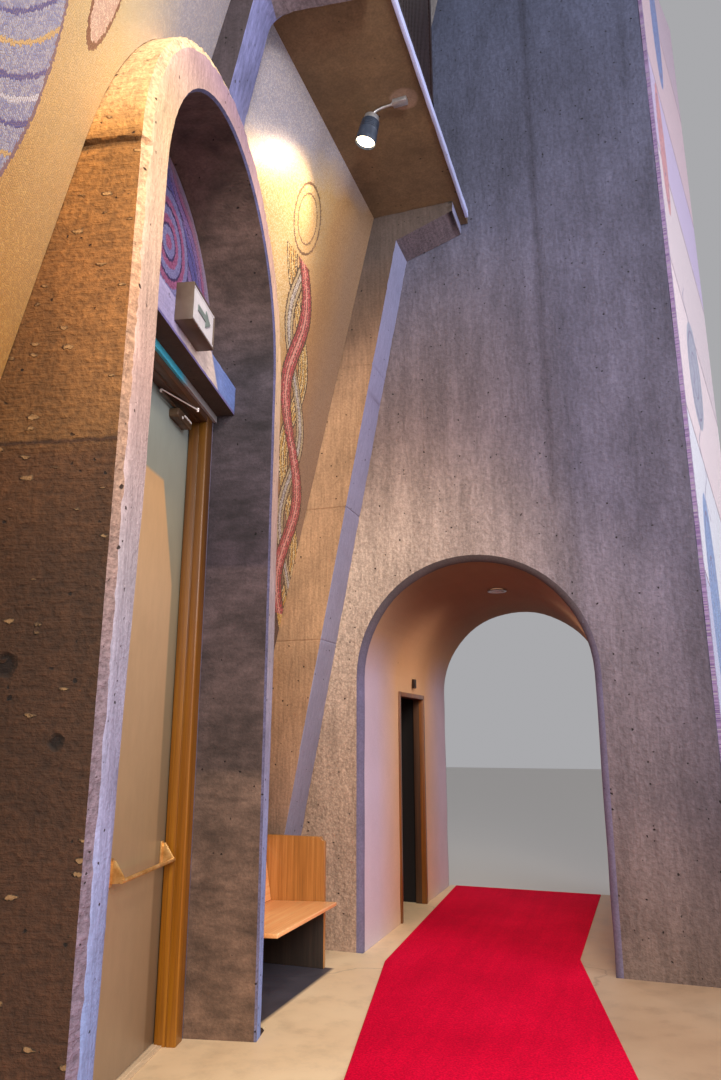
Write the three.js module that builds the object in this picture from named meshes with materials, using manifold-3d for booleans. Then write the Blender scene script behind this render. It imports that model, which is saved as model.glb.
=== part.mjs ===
// One bay of a modern round church in cast concrete, seen from inside.
// A deep pier with an arched passage stands at one end of the bay. Two wall panels
// lean in over the bay and meet at its middle, where an arched doorway stands upright
// and runs out through them. Ribs carry a gallery along the wall. A bench stands by it.
// Millimetres, +Z up. While it is built, x points to the nave, y runs along the pier's
// passage and z is the height over the floor. At the end the whole is set with the
// middle of its base on the origin.

import * as THREE from 'three';
import { mergeVertices } from 'three/addons/utils/BufferGeometryUtils.js';
import Module from 'manifold-3d';

const wasm = await Module();
wasm.setup();

// Heights over the floor
const BASE = -150;
const PASSAGE_SPRING = 2090;
const DOORWAY_HEAD = 2030;
const PORTAL_SPRING = 3970;
const SOFFIT = 6190;
const TOP = 8900;

// Pier
const PIER_NEAR = 6178;
const PIER_FAR = 9144;
const PASSAGE_OUT = -2156;
const PASSAGE_IN = -306;
const NAVE_ARRIS = 500;
const NOSE_X = 860;
const NOSE_NEAR = 7400;
const RECESS_NEAR = 7205;
const RECESS_FAR = 8117;
const RECESS_DEPTH = 900;
const LINING_BOARD = 42;
const LINING_DEEP = 100;
const LINING_PROUD = 14;

// Leaning wall: its inner face moves LEAN mm to the nave for each mm of height
const WALL_FOOT = -3329;
const LEAN = 0.2275;
const SKIN = 30;
const WALL_THICK = 300;

// Bay: its middle plane is turned from the pier, and the doorway faces along it
const BAY_TURN = THREE.MathUtils.degToRad(12);
const BAY_MID = 3684;

// Doorway, measured along the bay's middle plane and across it
const PORTAL_FRONT = -1180;
const PORTAL_BACK = -2950;
const PORTAL_HALF = 976;
const PORTAL_WALL = 230;
const ARRIS_OUT = 45;
const ARRIS_IN = 14;
const FOOT_ARRIS = 90;
const FOOT_ARRIS_TOP = 2600;

// Doors
const JAMB_FRONT = -1590;
const JAMB_REBATE = -1711;
const JAMB_BACK = -1800;
const JAMB_WIDE = 135;
const JAMB_THIN = 95;
const DOOR_HEAD = 3600;
const DOOR_HEAD_DEEP = 90;
const DOOR_STOP = 30;
const LEAF_THICK = 48;
const LEAF_FOOT = 20;
const DOOR_GAP = 5;
const PIVOT_OUT = 12;
const PIVOT_RADIUS = 8;
const THRESHOLD = 12;
const SILL_FRONT = -1666;
const BEAM_LOW = DOOR_HEAD + DOOR_HEAD_DEEP;
const BEAM_HIGH = BEAM_LOW + 200;
const BEAM_FRONT = -1450;

// Ribs and gallery
const RIB_SIDE = 5820;
const RIB_FOOT = -2840;
const RIB_RISE = 0.1905;
const ELBOW = 5910;
const CORBEL_TIP = -1190;
const CORBEL_DEEP = 100;
const MID_RIB_HALF = 156;
const MID_RIB_FOOT = -2198;
const MID_ELBOW = 6010;
const MID_RIB_BEND = 130;
const MID_RIB_BEND_RISE = 40;
const SLAB = 150;
const GALLERY_EDGE = -1130;
const FASCIA_THICK = 30;
const FASCIA_LOW = 6160;
const FASCIA_HIGH = 6235;
const FASCIA_END = 6060;
const SCREEN_THICK = 24;
const SCREEN_END = 4800;
const SCREEN_TOP = 8100;

// Bench
const BENCH_BACK = -2830;
const BENCH_FRONT = -2290;
const BENCH_FAR = 5735;
const BENCH_NEAR = 4665;
const BENCH_HIGH = 890;
const BENCH_BOARD = 35;
const BENCH_CUT = 30;

// Carpet: its bends and far corners, then its edges along and across the bay
const CARPET_FAR_LEFT = [-2080, 9104];
const CARPET_BEND_LEFT = [-1928, 6018];
const CARPET_BEND_RIGHT = [-569, 6550];
const CARPET_FAR_RIGHT = [-540, 9104];
const CARPET_OUT = -630;
const CARPET_IN = 760;
const CARPET_END_LEFT = 956;
const CARPET_END_RIGHT = 1250;
const CARPET_THICK = 9;

// Gap left where one piece rests on or meets another
const GAP = 0.3;
// An arc of a shape gets twice this many sides, so a full turn gets four times as many
const ARC_STEPS = 16;
const FAR_AWAY = 12000;

const concrete = new THREE.MeshStandardMaterial({ color: 0x7d7268, roughness: 0.95 });
const paleConcrete = new THREE.MeshStandardMaterial({ color: 0x9c92a0, roughness: 0.9 });
const screed = new THREE.MeshStandardMaterial({ color: 0xb9ad9c, roughness: 0.6 });
const goldMosaic = new THREE.MeshStandardMaterial({ color: 0xb58d4f, roughness: 0.45, metalness: 0.2 });
const paleMosaic = new THREE.MeshStandardMaterial({ color: 0xa9b3cf, roughness: 0.5 });
const purpleMosaic = new THREE.MeshStandardMaterial({ color: 0x6a5292, roughness: 0.5 });
const stainedWood = new THREE.MeshStandardMaterial({ color: 0x9a6a24, roughness: 0.5 });
const benchWood = new THREE.MeshStandardMaterial({ color: 0xd08a4a, roughness: 0.4 });
const doorPaint = new THREE.MeshStandardMaterial({ color: 0xb3a283, roughness: 0.45 });
const brass = new THREE.MeshStandardMaterial({ color: 0xd9a765, roughness: 0.35, metalness: 0.9 });
const darkMetal = new THREE.MeshStandardMaterial({ color: 0x4a3b33, roughness: 0.5, metalness: 0.6 });
const steel = new THREE.MeshStandardMaterial({ color: 0x8ea3ad, roughness: 0.4, metalness: 0.8 });
const signShell = new THREE.MeshStandardMaterial({ color: 0x8a8078, roughness: 0.6 });
const redCarpet = new THREE.MeshStandardMaterial({ color: 0xb0102a, roughness: 1.0 });

// Shapes

function solid(geometry) {
  const bare = geometry.clone();
  bare.deleteAttribute('normal');
  bare.deleteAttribute('uv');
  const merged = mergeVertices(bare, 1e-3);
  return new wasm.Manifold(new wasm.Mesh({
    numProp: 3,
    vertProperties: new Float32Array(merged.attributes.position.array),
    triVerts: new Uint32Array(merged.index.array),
  }));
}

function geometryOf(manifold) {
  const { vertProperties, triVerts } = manifold.getMesh();
  const geometry = new THREE.BufferGeometry();
  geometry.setAttribute('position', new THREE.BufferAttribute(new Float32Array(vertProperties), 3));
  geometry.setIndex(new THREE.BufferAttribute(new Uint32Array(triVerts), 1));
  geometry.computeVertexNormals();
  return geometry;
}

function box(x0, x1, y0, y1, z0, z1) {
  const geometry = new THREE.BoxGeometry(x1 - x0, y1 - y0, z1 - z0);
  return geometry.translate((x0 + x1) / 2, (y0 + y1) / 2, (z0 + z1) / 2);
}

// A box between two y values given in either order
function span(x0, x1, y0, y1, z0, z1) {
  return box(x0, x1, Math.min(y0, y1), Math.max(y0, y1), z0, z1);
}

function outline(points) {
  return new THREE.Shape(points.map(([a, b]) => new THREE.Vector2(a, b)));
}

// A plan outline of [x, y] points, raised from z0 to z1
function raised(points, z0, z1) {
  const geometry = new THREE.ExtrudeGeometry(outline(points), { depth: z1 - z0, bevelEnabled: false });
  return geometry.translate(0, 0, z0);
}

// A side outline of [x, z] points, drawn out from y0 to y1
function drawn(points, y0, y1) {
  const geometry = new THREE.ExtrudeGeometry(outline(points), { depth: y1 - y0, bevelEnabled: false });
  return geometry.rotateX(Math.PI / 2).translate(0, y1, 0);
}

// A geometry of the doorway's own frame, turned into the pier's frame
function turned(geometry) {
  return geometry.rotateZ(BAY_TURN);
}

// The same piece on the other side of the bay's middle plane
function mirrored(geometry) {
  const across = new THREE.Vector3(-Math.sin(BAY_TURN), Math.cos(BAY_TURN), 0);
  const copy = geometry.clone();
  const place = copy.attributes.position;
  const point = new THREE.Vector3();
  for (let i = 0; i < place.count; i += 1) {
    point.fromBufferAttribute(place, i);
    point.addScaledVector(across, -2 * (point.dot(across) - BAY_MID));
    place.setXYZ(i, point.x, point.y, point.z);
  }
  const order = () => Array.from({ length: place.count }, (_, i) => i);
  const index = copy.index ? Array.from(copy.index.array) : order();
  for (let i = 0; i < index.length; i += 3) {
    [index[i + 1], index[i + 2]] = [index[i + 2], index[i + 1]];
  }
  copy.setIndex(index);
  copy.computeVertexNormals();
  return copy;
}

function piece(name, geometry, material) {
  const mesh = new THREE.Mesh(geometry, material);
  mesh.name = name;
  return mesh;
}

// Faces that lean with the wall

const mosaicFace = (z) => WALL_FOOT + LEAN * z;
const wallFace = (z) => mosaicFace(z) - SKIN - GAP;
const outerFace = (z) => wallFace(z) - WALL_THICK;

// Half of the bay, from its middle plane out past the pier
function farHalf(offset) {
  return solid(turned(box(-FAR_AWAY, FAR_AWAY, BAY_MID + offset, FAR_AWAY, -FAR_AWAY, FAR_AWAY)));
}

// Doorway outline as one plug, grown by a gap, for what is cut round it
function doorwayPlug(grow) {
  const half = PORTAL_HALF + PORTAL_WALL + grow;
  const shape = new THREE.Shape();
  shape.moveTo(half, BASE - grow);
  shape.lineTo(half, PORTAL_SPRING);
  shape.absarc(0, PORTAL_SPRING, half, 0, Math.PI, false);
  shape.lineTo(-half, BASE - grow);
  const geometry = new THREE.ExtrudeGeometry(shape, {
    depth: FAR_AWAY, bevelEnabled: false, curveSegments: ARC_STEPS,
  });
  geometry.rotateX(Math.PI / 2).rotateZ(Math.PI / 2);
  return solid(turned(geometry.translate(PORTAL_FRONT + grow - FAR_AWAY, BAY_MID, 0)));
}

// Pier: cast in lifts, with the passage through it and a recess in the passage's side

function pierPlan(outX) {
  return [
    [outX, PIER_NEAR], [NAVE_ARRIS, PIER_NEAR], [NOSE_X, NOSE_NEAR],
    [NOSE_X, PIER_NEAR + PIER_FAR - NOSE_NEAR], [NAVE_ARRIS, PIER_FAR], [outX, PIER_FAR],
  ];
}

function wallLeg(name, y0, y1) {
  const side = [
    [outerFace(BASE), BASE], [PASSAGE_OUT, BASE],
    [PASSAGE_OUT, DOORWAY_HEAD], [outerFace(DOORWAY_HEAD), DOORWAY_HEAD],
  ];
  return piece(name, drawn(side, y0, y1), concrete);
}

function recessBack() {
  const inner = PASSAGE_OUT - RECESS_DEPTH;
  const side = [
    [outerFace(BASE), BASE], [inner, BASE],
    [inner, DOORWAY_HEAD], [outerFace(DOORWAY_HEAD), DOORWAY_HEAD],
  ];
  return piece('side_recess_back', drawn(side, RECESS_NEAR + GAP, RECESS_FAR - GAP), concrete);
}

function naveLeg() {
  return piece('pier_nave_leg', raised(pierPlan(PASSAGE_IN), BASE, DOORWAY_HEAD), concrete);
}

function pierLift(z0, z1) {
  const lift = solid(raised(pierPlan(outerFace(BASE)), z0, z1));
  const lean = solid(drawn([
    [outerFace(z0), z0], [FAR_AWAY, z0], [FAR_AWAY, z1], [outerFace(z1), z1],
  ], PIER_NEAR - FAR_AWAY, PIER_FAR + FAR_AWAY));
  return lift.intersect(lean);
}

function passageVoid() {
  const half = (PASSAGE_IN - PASSAGE_OUT) / 2;
  const shape = new THREE.Shape();
  shape.moveTo(half, BASE - FAR_AWAY);
  shape.lineTo(half, PASSAGE_SPRING);
  shape.absarc(0, PASSAGE_SPRING, half, 0, Math.PI, false);
  shape.lineTo(-half, BASE - FAR_AWAY);
  const depth = PIER_FAR - PIER_NEAR + FAR_AWAY;
  const geometry = new THREE.ExtrudeGeometry(shape, { depth, bevelEnabled: false, curveSegments: ARC_STEPS });
  geometry.rotateX(Math.PI / 2);
  return solid(geometry.translate(PASSAGE_OUT + half, PIER_FAR + FAR_AWAY / 2, 0));
}

function pierHead() {
  const lift = pierLift(DOORWAY_HEAD + GAP, SOFFIT);
  return piece('pier_head', geometryOf(lift.subtract(passageVoid())), concrete);
}

function pierShaft() {
  return piece('pier_shaft', geometryOf(pierLift(SOFFIT + GAP, TOP)), concrete);
}

// Mosaic on the pier's splayed nave faces

function pierMosaic(name, far) {
  const run = new THREE.Vector2(NOSE_X - NAVE_ARRIS, NOSE_NEAR - PIER_NEAR).normalize();
  const out = new THREE.Vector2(run.y, -run.x);
  const start = new THREE.Vector2(NAVE_ARRIS, PIER_NEAR).addScaledVector(out, GAP).addScaledVector(run, SKIN);
  const end = new THREE.Vector2(NOSE_X, NOSE_NEAR).addScaledVector(out, GAP);
  const face = [end, start].map((corner) => corner.clone().addScaledVector(out, SKIN));
  const corners = [start, end, ...face];
  const side = far ? (y) => PIER_NEAR + PIER_FAR - y : (y) => y;
  return piece(name, raised(corners.map((c) => [c.x, side(c.y)]), GAP, TOP), paleMosaic);
}

// Wooden lining of the recess's doorway

function recessLining() {
  const x0 = PASSAGE_OUT - LINING_DEEP;
  const x1 = PASSAGE_OUT + LINING_PROUD;
  const y0 = RECESS_NEAR + LINING_BOARD;
  const y1 = RECESS_FAR - LINING_BOARD;
  const high = DOORWAY_HEAD - GAP;
  const head = box(x0, x1, y0 + GAP, y1 - GAP, high - LINING_BOARD, high);
  return [
    piece('side_lining_near', box(x0, x1, RECESS_NEAR + GAP, y0, GAP, high), stainedWood),
    piece('side_lining_far', box(x0, x1, y1, RECESS_FAR - GAP, GAP, high), stainedWood),
    piece('side_lining_head', head, stainedWood),
  ];
}

// Small fittings in the passage: a downlight in the vault and a sensor over the doorway

function downlight() {
  const middle = (PASSAGE_IN + PASSAGE_OUT) / 2;
  const apex = PASSAGE_SPRING + (PASSAGE_IN - PASSAGE_OUT) / 2;
  const drop = 22;
  const rim = 92;
  const lens = 62;
  const points = [[0, 0], [rim, 0], [rim, 8], [lens + 8, 8], [lens, 18], [0, 18]];
  const profile = points.map(([r, h]) => new THREE.Vector2(r, h));
  const geometry = new THREE.LatheGeometry(profile, 2 * ARC_STEPS).rotateX(Math.PI / 2);
  const mesh = piece('passage_downlight', geometry, steel);
  mesh.position.set(middle, 7540, apex - drop);
  return mesh;
}

function sensor() {
  const middle = 7712;
  const half = 35;
  const low = 2085;
  const high = 2175;
  const thick = 28;
  const vaultProud = 4.2;
  const seat = PASSAGE_OUT + vaultProud + GAP;
  const shape = box(seat, seat + thick, middle - half, middle + half, low, high);
  return piece('side_door_sensor', shape, darkMetal);
}

// Leaning wall panels and the mosaic on them, made for the far half and mirrored

function wallPanel() {
  const side = [
    [outerFace(BASE), BASE], [wallFace(BASE), BASE], [wallFace(TOP), TOP], [outerFace(TOP), TOP],
  ];
  return solid(drawn(side, PIER_NEAR - FAR_AWAY, PIER_NEAR - GAP))
    .intersect(farHalf(GAP / 2)).subtract(doorwayPlug(GAP));
}

function wallMosaic() {
  const low = GAP;
  const high = SOFFIT - GAP;
  const side = [
    [mosaicFace(low) - SKIN, low], [mosaicFace(low), low],
    [mosaicFace(high), high], [mosaicFace(high) - SKIN, high],
  ];
  return solid(drawn(side, PIER_NEAR - FAR_AWAY, RIB_SIDE - GAP))
    .intersect(farHalf(MID_RIB_HALF + GAP)).subtract(doorwayPlug(GAP));
}

// Ribs: each rises along the wall, then turns out into a corbel under the gallery

const ribFace = (z) => RIB_FOOT + RIB_RISE * z;

function farRib() {
  const low = GAP;
  const high = SOFFIT - GAP;
  const side = [
    [wallFace(low) + GAP, low], [ribFace(low), low], [ribFace(ELBOW), ELBOW],
    [CORBEL_TIP, SOFFIT - CORBEL_DEEP], [CORBEL_TIP, high], [wallFace(high) + GAP, high],
  ];
  return drawn(side, RIB_SIDE, PIER_NEAR - GAP);
}

function midRib() {
  const low = PORTAL_SPRING;
  const high = SOFFIT - GAP;
  const back = (z) => (mosaicFace(z) + Math.sin(BAY_TURN) * BAY_MID) / Math.cos(BAY_TURN) - WALL_THICK / 2;
  const face = (z) => MID_RIB_FOOT + RIB_RISE * z;
  const tip = (CORBEL_TIP + Math.sin(BAY_TURN) * BAY_MID) / Math.cos(BAY_TURN);
  const shape = new THREE.Shape();
  shape.moveTo(back(low), low);
  shape.lineTo(face(low), low);
  shape.lineTo(face(MID_ELBOW - MID_RIB_BEND), MID_ELBOW - MID_RIB_BEND);
  shape.quadraticCurveTo(
    face(MID_ELBOW), MID_ELBOW, face(MID_ELBOW) + MID_RIB_BEND, MID_ELBOW + MID_RIB_BEND_RISE);
  shape.lineTo(tip, SOFFIT - CORBEL_DEEP);
  shape.lineTo(tip, high);
  shape.lineTo(back(high), high);
  const depth = 2 * MID_RIB_HALF;
  const geometry = new THREE.ExtrudeGeometry(shape, { depth, bevelEnabled: false, curveSegments: 6 });
  geometry.rotateX(Math.PI / 2).translate(0, BAY_MID + MID_RIB_HALF, 0);
  const panels = wallCutter();
  return geometryOf(solid(turned(geometry)).subtract(doorwayPlug(GAP)).subtract(panels));
}

// Both panels' inner side grown by a gap, which the middle rib is cut back to
function wallCutter() {
  const side = [
    [outerFace(BASE), BASE], [wallFace(BASE) + GAP, BASE], [wallFace(TOP) + GAP, TOP], [outerFace(TOP), TOP],
  ];
  const half = solid(drawn(side, PIER_NEAR - FAR_AWAY, PIER_NEAR)).intersect(farHalf(-GAP));
  return half.add(solid(mirrored(geometryOf(half))));
}

// Gallery: a slab on the corbels, an upstand along its edge and a pierced screen on that

function gallerySlab() {
  const low = SOFFIT;
  const high = SOFFIT + SLAB;
  const side = [
    [wallFace(low) + GAP, low], [GALLERY_EDGE - GAP, low],
    [GALLERY_EDGE - GAP, high], [wallFace(high) + GAP, high],
  ];
  return solid(drawn(side, PIER_NEAR - FAR_AWAY, PIER_NEAR - GAP)).intersect(farHalf(GAP / 2));
}

function galleryEdge(x0, x1, z0, z1, end) {
  return solid(box(x0, x1, PIER_NEAR - FAR_AWAY, end, z0, z1)).intersect(farHalf(GAP / 2));
}

function gallery() {
  const slab = geometryOf(gallerySlab());
  const edge = GALLERY_EDGE + FASCIA_THICK;
  const fascia = geometryOf(galleryEdge(GALLERY_EDGE, edge, FASCIA_LOW, FASCIA_HIGH, FASCIA_END));
  const x0 = GALLERY_EDGE + (FASCIA_THICK - SCREEN_THICK) / 2;
  const screen = geometryOf(galleryEdge(x0, x0 + SCREEN_THICK, FASCIA_HIGH + GAP, SCREEN_TOP, SCREEN_END));
  return [
    piece('far_gallery_slab', slab, concrete),
    piece('near_gallery_slab', mirrored(slab), concrete),
    piece('far_gallery_edge', fascia, paleConcrete),
    piece('near_gallery_edge', mirrored(fascia), paleConcrete),
    piece('far_gallery_screen', screen, darkMetal),
    piece('near_gallery_screen', mirrored(screen), darkMetal),
  ];
}

function leaningWall() {
  const panel = geometryOf(wallPanel());
  const mosaic = geometryOf(wallMosaic());
  const rib = farRib();
  return [
    piece('far_wall', panel, concrete),
    piece('near_wall', mirrored(panel), concrete),
    piece('far_mosaic', mosaic, goldMosaic),
    piece('near_mosaic', mirrored(mosaic), goldMosaic),
    piece('far_rib', rib, concrete),
    piece('near_rib', mirrored(rib), concrete),
    piece('mid_rib', midRib(), concrete),
  ];
}

// Spotlight under the gallery

function spotlight() {
  const plate = box(-55, 55, -30, 30, -34, 0);
  const tip = new THREE.Vector3(-215, 0, -66);
  const stem = new THREE.QuadraticBezierCurve3(
    new THREE.Vector3(-20, 0, -20), new THREE.Vector3(-204, 0, -20), tip);
  const round = new THREE.Shape().absarc(0, 0, 9, 0, 2 * Math.PI, false);
  const arm = new THREE.ExtrudeGeometry(round, { extrudePath: stem, steps: 10, curveSegments: 6 });
  const bracket = piece('spotlight_bracket', geometryOf(solid(plate).add(solid(arm))), steel);
  const points = [
    [0, 0], [32, 0], [54, -14], [60, -46], [68, -54],
    [72, -150], [80, -236], [74, -238], [66, -222], [0, -218],
  ];
  const profile = points.map(([r, h]) => new THREE.Vector2(r, h)).reverse();
  const lamp = new THREE.LatheGeometry(profile, 24);
  const head = piece('spotlight_head', lamp.rotateX(Math.PI / 2), darkMetal);
  head.position.set(tip.x - 0.1, 0, tip.z - 2 * GAP);
  head.rotation.set(0, THREE.MathUtils.degToRad(14), 0);
  const group = new THREE.Group();
  group.add(bracket, head);
  group.position.set(-1310, 4600, SOFFIT - GAP);
  return group;
}

// Doorway, in its own frame: x to the nave, y across, from the middle of the bay

function portalWall(name, side) {
  const inner = side * PORTAL_HALF;
  const outer = side * (PORTAL_HALF + PORTAL_WALL);
  const plan = [
    [PORTAL_BACK, inner], [PORTAL_FRONT - ARRIS_IN, inner], [PORTAL_FRONT, inner + side * ARRIS_IN],
    [PORTAL_FRONT, outer - side * ARRIS_OUT], [PORTAL_FRONT - ARRIS_OUT / 2, outer], [PORTAL_BACK, outer],
  ];
  const whole = solid(raised(side > 0 ? plan : plan.reverse(), BASE, PORTAL_SPRING - GAP));
  return piece(name, geometryOf(whole.subtract(footArris(side))), concrete);
}

// The arris on the side toward the pier gets wider down to the foot of each wall
function footArris(side) {
  const face = side > 0 ? PORTAL_HALF + PORTAL_WALL : -PORTAL_HALF;
  const wide = side > 0 ? ARRIS_OUT : ARRIS_IN;
  const deep = side > 0 ? ARRIS_OUT / 2 : ARRIS_IN;
  const corners = [[0, FOOT_ARRIS], [FOOT_ARRIS_TOP, 0]].flatMap(([z, more]) => {
    const across = wide + more;
    const back = deep + more / 2;
    return [
      [PORTAL_FRONT + back, face - 2 * across, z],
      [PORTAL_FRONT - 2 * back, face + across, z],
      [PORTAL_FRONT + back, face + across, z],
    ];
  });
  return wasm.Manifold.hull(corners);
}

function portalVault() {
  const inner = PORTAL_HALF;
  const outer = PORTAL_HALF + PORTAL_WALL;
  const profile = [
    [inner, PORTAL_BACK], [outer, PORTAL_BACK],
    [outer, PORTAL_FRONT - ARRIS_OUT / 2], [outer - ARRIS_OUT, PORTAL_FRONT],
    [inner + ARRIS_IN, PORTAL_FRONT], [inner, PORTAL_FRONT - ARRIS_IN], [inner, PORTAL_BACK],
  ];
  const ring = new THREE.LatheGeometry(profile.map(([r, w]) => new THREE.Vector2(r, w)), 4 * ARC_STEPS);
  const upper = solid(box(-FAR_AWAY, FAR_AWAY, -FAR_AWAY, FAR_AWAY, 0, FAR_AWAY));
  const half = solid(ring.rotateZ(-Math.PI / 2)).intersect(upper);
  const mesh = piece('portal_vault', geometryOf(half), concrete);
  mesh.position.z = PORTAL_SPRING;
  return mesh;
}

function tympanum() {
  const front = -1620;
  const thick = 120;
  const low = BEAM_HIGH + GAP;
  const radius = PORTAL_HALF - GAP;
  const shape = new THREE.Shape();
  shape.moveTo(radius, low);
  shape.lineTo(radius, PORTAL_SPRING);
  shape.absarc(0, PORTAL_SPRING, radius, 0, Math.PI, false);
  shape.lineTo(-radius, low);
  const geometry = new THREE.ExtrudeGeometry(shape, {
    depth: thick, bevelEnabled: false, curveSegments: ARC_STEPS,
  });
  geometry.rotateX(Math.PI / 2).rotateZ(Math.PI / 2);
  return piece('tympanum', geometry.translate(front - thick, 0, 0), purpleMosaic);
}

function doorJamb(name, side) {
  const wall = side * (PORTAL_HALF - GAP);
  const wide = side * (PORTAL_HALF - JAMB_WIDE);
  const thin = side * (PORTAL_HALF - JAMB_THIN);
  const plan = [
    [JAMB_BACK, thin], [JAMB_REBATE, thin], [JAMB_REBATE, wide],
    [JAMB_FRONT, wide], [JAMB_FRONT, wall], [JAMB_BACK, wall],
  ];
  return piece(name, raised(side > 0 ? plan : plan.reverse(), GAP, BEAM_LOW - GAP), stainedWood);
}

function doorHead() {
  const half = PORTAL_HALF - JAMB_WIDE - GAP;
  const high = BEAM_LOW - GAP;
  const rebate = DOOR_HEAD + DOOR_STOP;
  const side = [
    [JAMB_FRONT, DOOR_HEAD], [JAMB_FRONT, high], [JAMB_BACK, high],
    [JAMB_BACK, rebate], [JAMB_REBATE, rebate], [JAMB_REBATE, DOOR_HEAD],
  ];
  return piece('door_head', drawn(side.reverse(), -half, half), stainedWood);
}

function doorFittings() {
  const half = PORTAL_HALF - GAP;
  const beamBack = -1740;
  const trimProud = 18;
  const trimLow = BEAM_LOW - 45;
  const trim = box(JAMB_FRONT + GAP, JAMB_FRONT + trimProud, -half, half, trimLow, BEAM_LOW - GAP);
  const inner = PORTAL_HALF - JAMB_THIN - GAP;
  const outer = PORTAL_HALF - JAMB_WIDE - GAP;
  const sill = [
    [JAMB_BACK, -inner], [JAMB_REBATE - GAP, -inner], [JAMB_REBATE - GAP, -outer], [SILL_FRONT, -outer],
    [SILL_FRONT, outer], [JAMB_REBATE - GAP, outer], [JAMB_REBATE - GAP, inner], [JAMB_BACK, inner],
  ];
  return [
    piece('transom_beam', box(beamBack, BEAM_FRONT, -half, half, BEAM_LOW, BEAM_HIGH), paleConcrete),
    piece('head_trim', trim, steel),
    piece('door_threshold', raised(sill, GAP, THRESHOLD), paleConcrete),
  ];
}

// A door leaf with the foot that it turns on, in the doorway's frame; side says which jamb

function doorLeaf(name, side) {
  const pivotY = side * (PORTAL_HALF - JAMB_THIN - PIVOT_OUT);
  const heel = side * (PORTAL_HALF - JAMB_THIN - DOOR_GAP);
  const toe = side * DOOR_GAP;
  const front = JAMB_REBATE - DOOR_GAP;
  const back = front - LEAF_THICK;
  const pivotX = back - PIVOT_OUT;
  const high = DOOR_HEAD + DOOR_STOP - DOOR_GAP;
  const slab = solid(span(back, front, heel, toe, LEAF_FOOT, high));
  const shoeLong = 90;
  const shoeHigh = 30;
  const shoeInner = side * (PORTAL_HALF - JAMB_THIN - shoeLong);
  const lap = 10;
  const shoeTop = LEAF_FOOT + shoeHigh;
  const shoe = solid(span(pivotX - PIVOT_RADIUS, back + lap, pivotY, shoeInner, LEAF_FOOT, shoeTop));
  const pinLow = THRESHOLD + GAP;
  const pinHigh = shoeTop + lap;
  const pin = new THREE.CylinderGeometry(PIVOT_RADIUS, PIVOT_RADIUS, pinHigh - pinLow, 24);
  pin.rotateX(Math.PI / 2);
  pin.translate(pivotX, pivotY, (pinLow + pinHigh) / 2);
  return piece(name, geometryOf(slab.add(shoe).add(solid(pin))), doorPaint);
}

function panicBar(name, side) {
  const face = JAMB_REBATE - DOOR_GAP + GAP;
  const reach = 70;
  const high = 948;
  const round = 11;
  const ends = [122, 815].map((y) => side * y);
  const from = Math.min(...ends);
  const to = Math.max(...ends);
  const bar = new THREE.CylinderGeometry(round, round, to - from, 16);
  let whole = solid(bar.translate(face + reach, (from + to) / 2, high));
  const inset = 20;
  const plateHalf = 18;
  const armHalf = 5;
  const arm = [
    [face, high - 16], [face + reach, high - round], [face + reach + round, high],
    [face + reach + round, high + 12], [face + 26, high + 92], [face, high + 92],
  ];
  for (const y of [from + inset, to - inset]) {
    whole = whole.add(solid(box(face, face + 8, y - plateHalf, y + plateHalf, high - 30, high + 100)));
    whole = whole.add(solid(drawn(arm, y - armHalf, y + armHalf)));
  }
  return piece(name, geometryOf(whole), brass);
}

// The arm leaves the body's pinion toward the doorway's middle and comes back under the head
function closer(name, side) {
  const face = JAMB_REBATE - DOOR_GAP + GAP;
  const low = 3500;
  const high = low + 60;
  const pinion = 560;
  const elbow = 290;
  const end = 730;
  const body = solid(span(face, face + 60, side * 500, side * 740, low, high));
  const knob = new THREE.CylinderGeometry(13, 13, 34, 16).rotateX(Math.PI / 2);
  knob.translate(face + 30, side * pinion, high);
  const arm = solid(span(face + 21, face + 39, side * elbow, side * pinion, high + 5, high + 11));
  const pin = solid(span(face + 24, face + 36, side * elbow, side * (elbow + 12), high + 5, high + 23));
  const fore = solid(span(face + 24, face + 36, side * elbow, side * end, high + 18, high + 24));
  return piece(name, geometryOf(body.add(solid(knob)).add(arm).add(pin).add(fore)), darkMetal);
}

function exitSign() {
  const deep = 104;
  return piece('exit_sign', box(BEAM_FRONT + GAP, BEAM_FRONT + deep, -157, 198, 3754, 3976), signShell);
}

function doorway() {
  const group = new THREE.Group();
  group.add(
    portalWall('portal_near_wall', -1), portalWall('portal_far_wall', 1), portalVault(), tympanum(),
    doorJamb('near_jamb', -1), doorJamb('far_jamb', 1), doorHead(), ...doorFittings(),
    doorLeaf('near_leaf', -1), doorLeaf('far_leaf', 1),
    panicBar('near_panic_bar', -1), panicBar('far_panic_bar', 1),
    closer('near_closer', -1), closer('far_closer', 1), exitSign(),
  );
  const across = new THREE.Group();
  group.position.y = BAY_MID;
  across.add(group);
  across.rotation.z = BAY_TURN;
  return across;
}

// Bench by the wall, between the doorway and the rib

function bench() {
  const end = [
    [BENCH_BACK, GAP], [BENCH_FRONT, GAP],
    [BENCH_FRONT, BENCH_HIGH - BENCH_CUT], [BENCH_FRONT - BENCH_CUT, BENCH_HIGH],
    [BENCH_BACK, BENCH_HIGH],
  ];
  const y0 = BENCH_NEAR + BENCH_BOARD + GAP;
  const y1 = BENCH_FAR - BENCH_BOARD - GAP;
  const seat = [[-2735, 400], [-2190, 425], [-2190, 452], [-2735, 430]];
  const back = [[-2740, 432], [-2715, 432], [-2790, 868], [-2815, 868]];
  return [
    piece('bench_end_near', drawn(end, BENCH_NEAR, BENCH_NEAR + BENCH_BOARD), benchWood),
    piece('bench_end_far', drawn(end, BENCH_FAR - BENCH_BOARD, BENCH_FAR), benchWood),
    piece('bench_seat', drawn(seat, y0, y1), benchWood),
    piece('bench_back', drawn(back, y0, y1), benchWood),
  ];
}

// Floor and carpet

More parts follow.
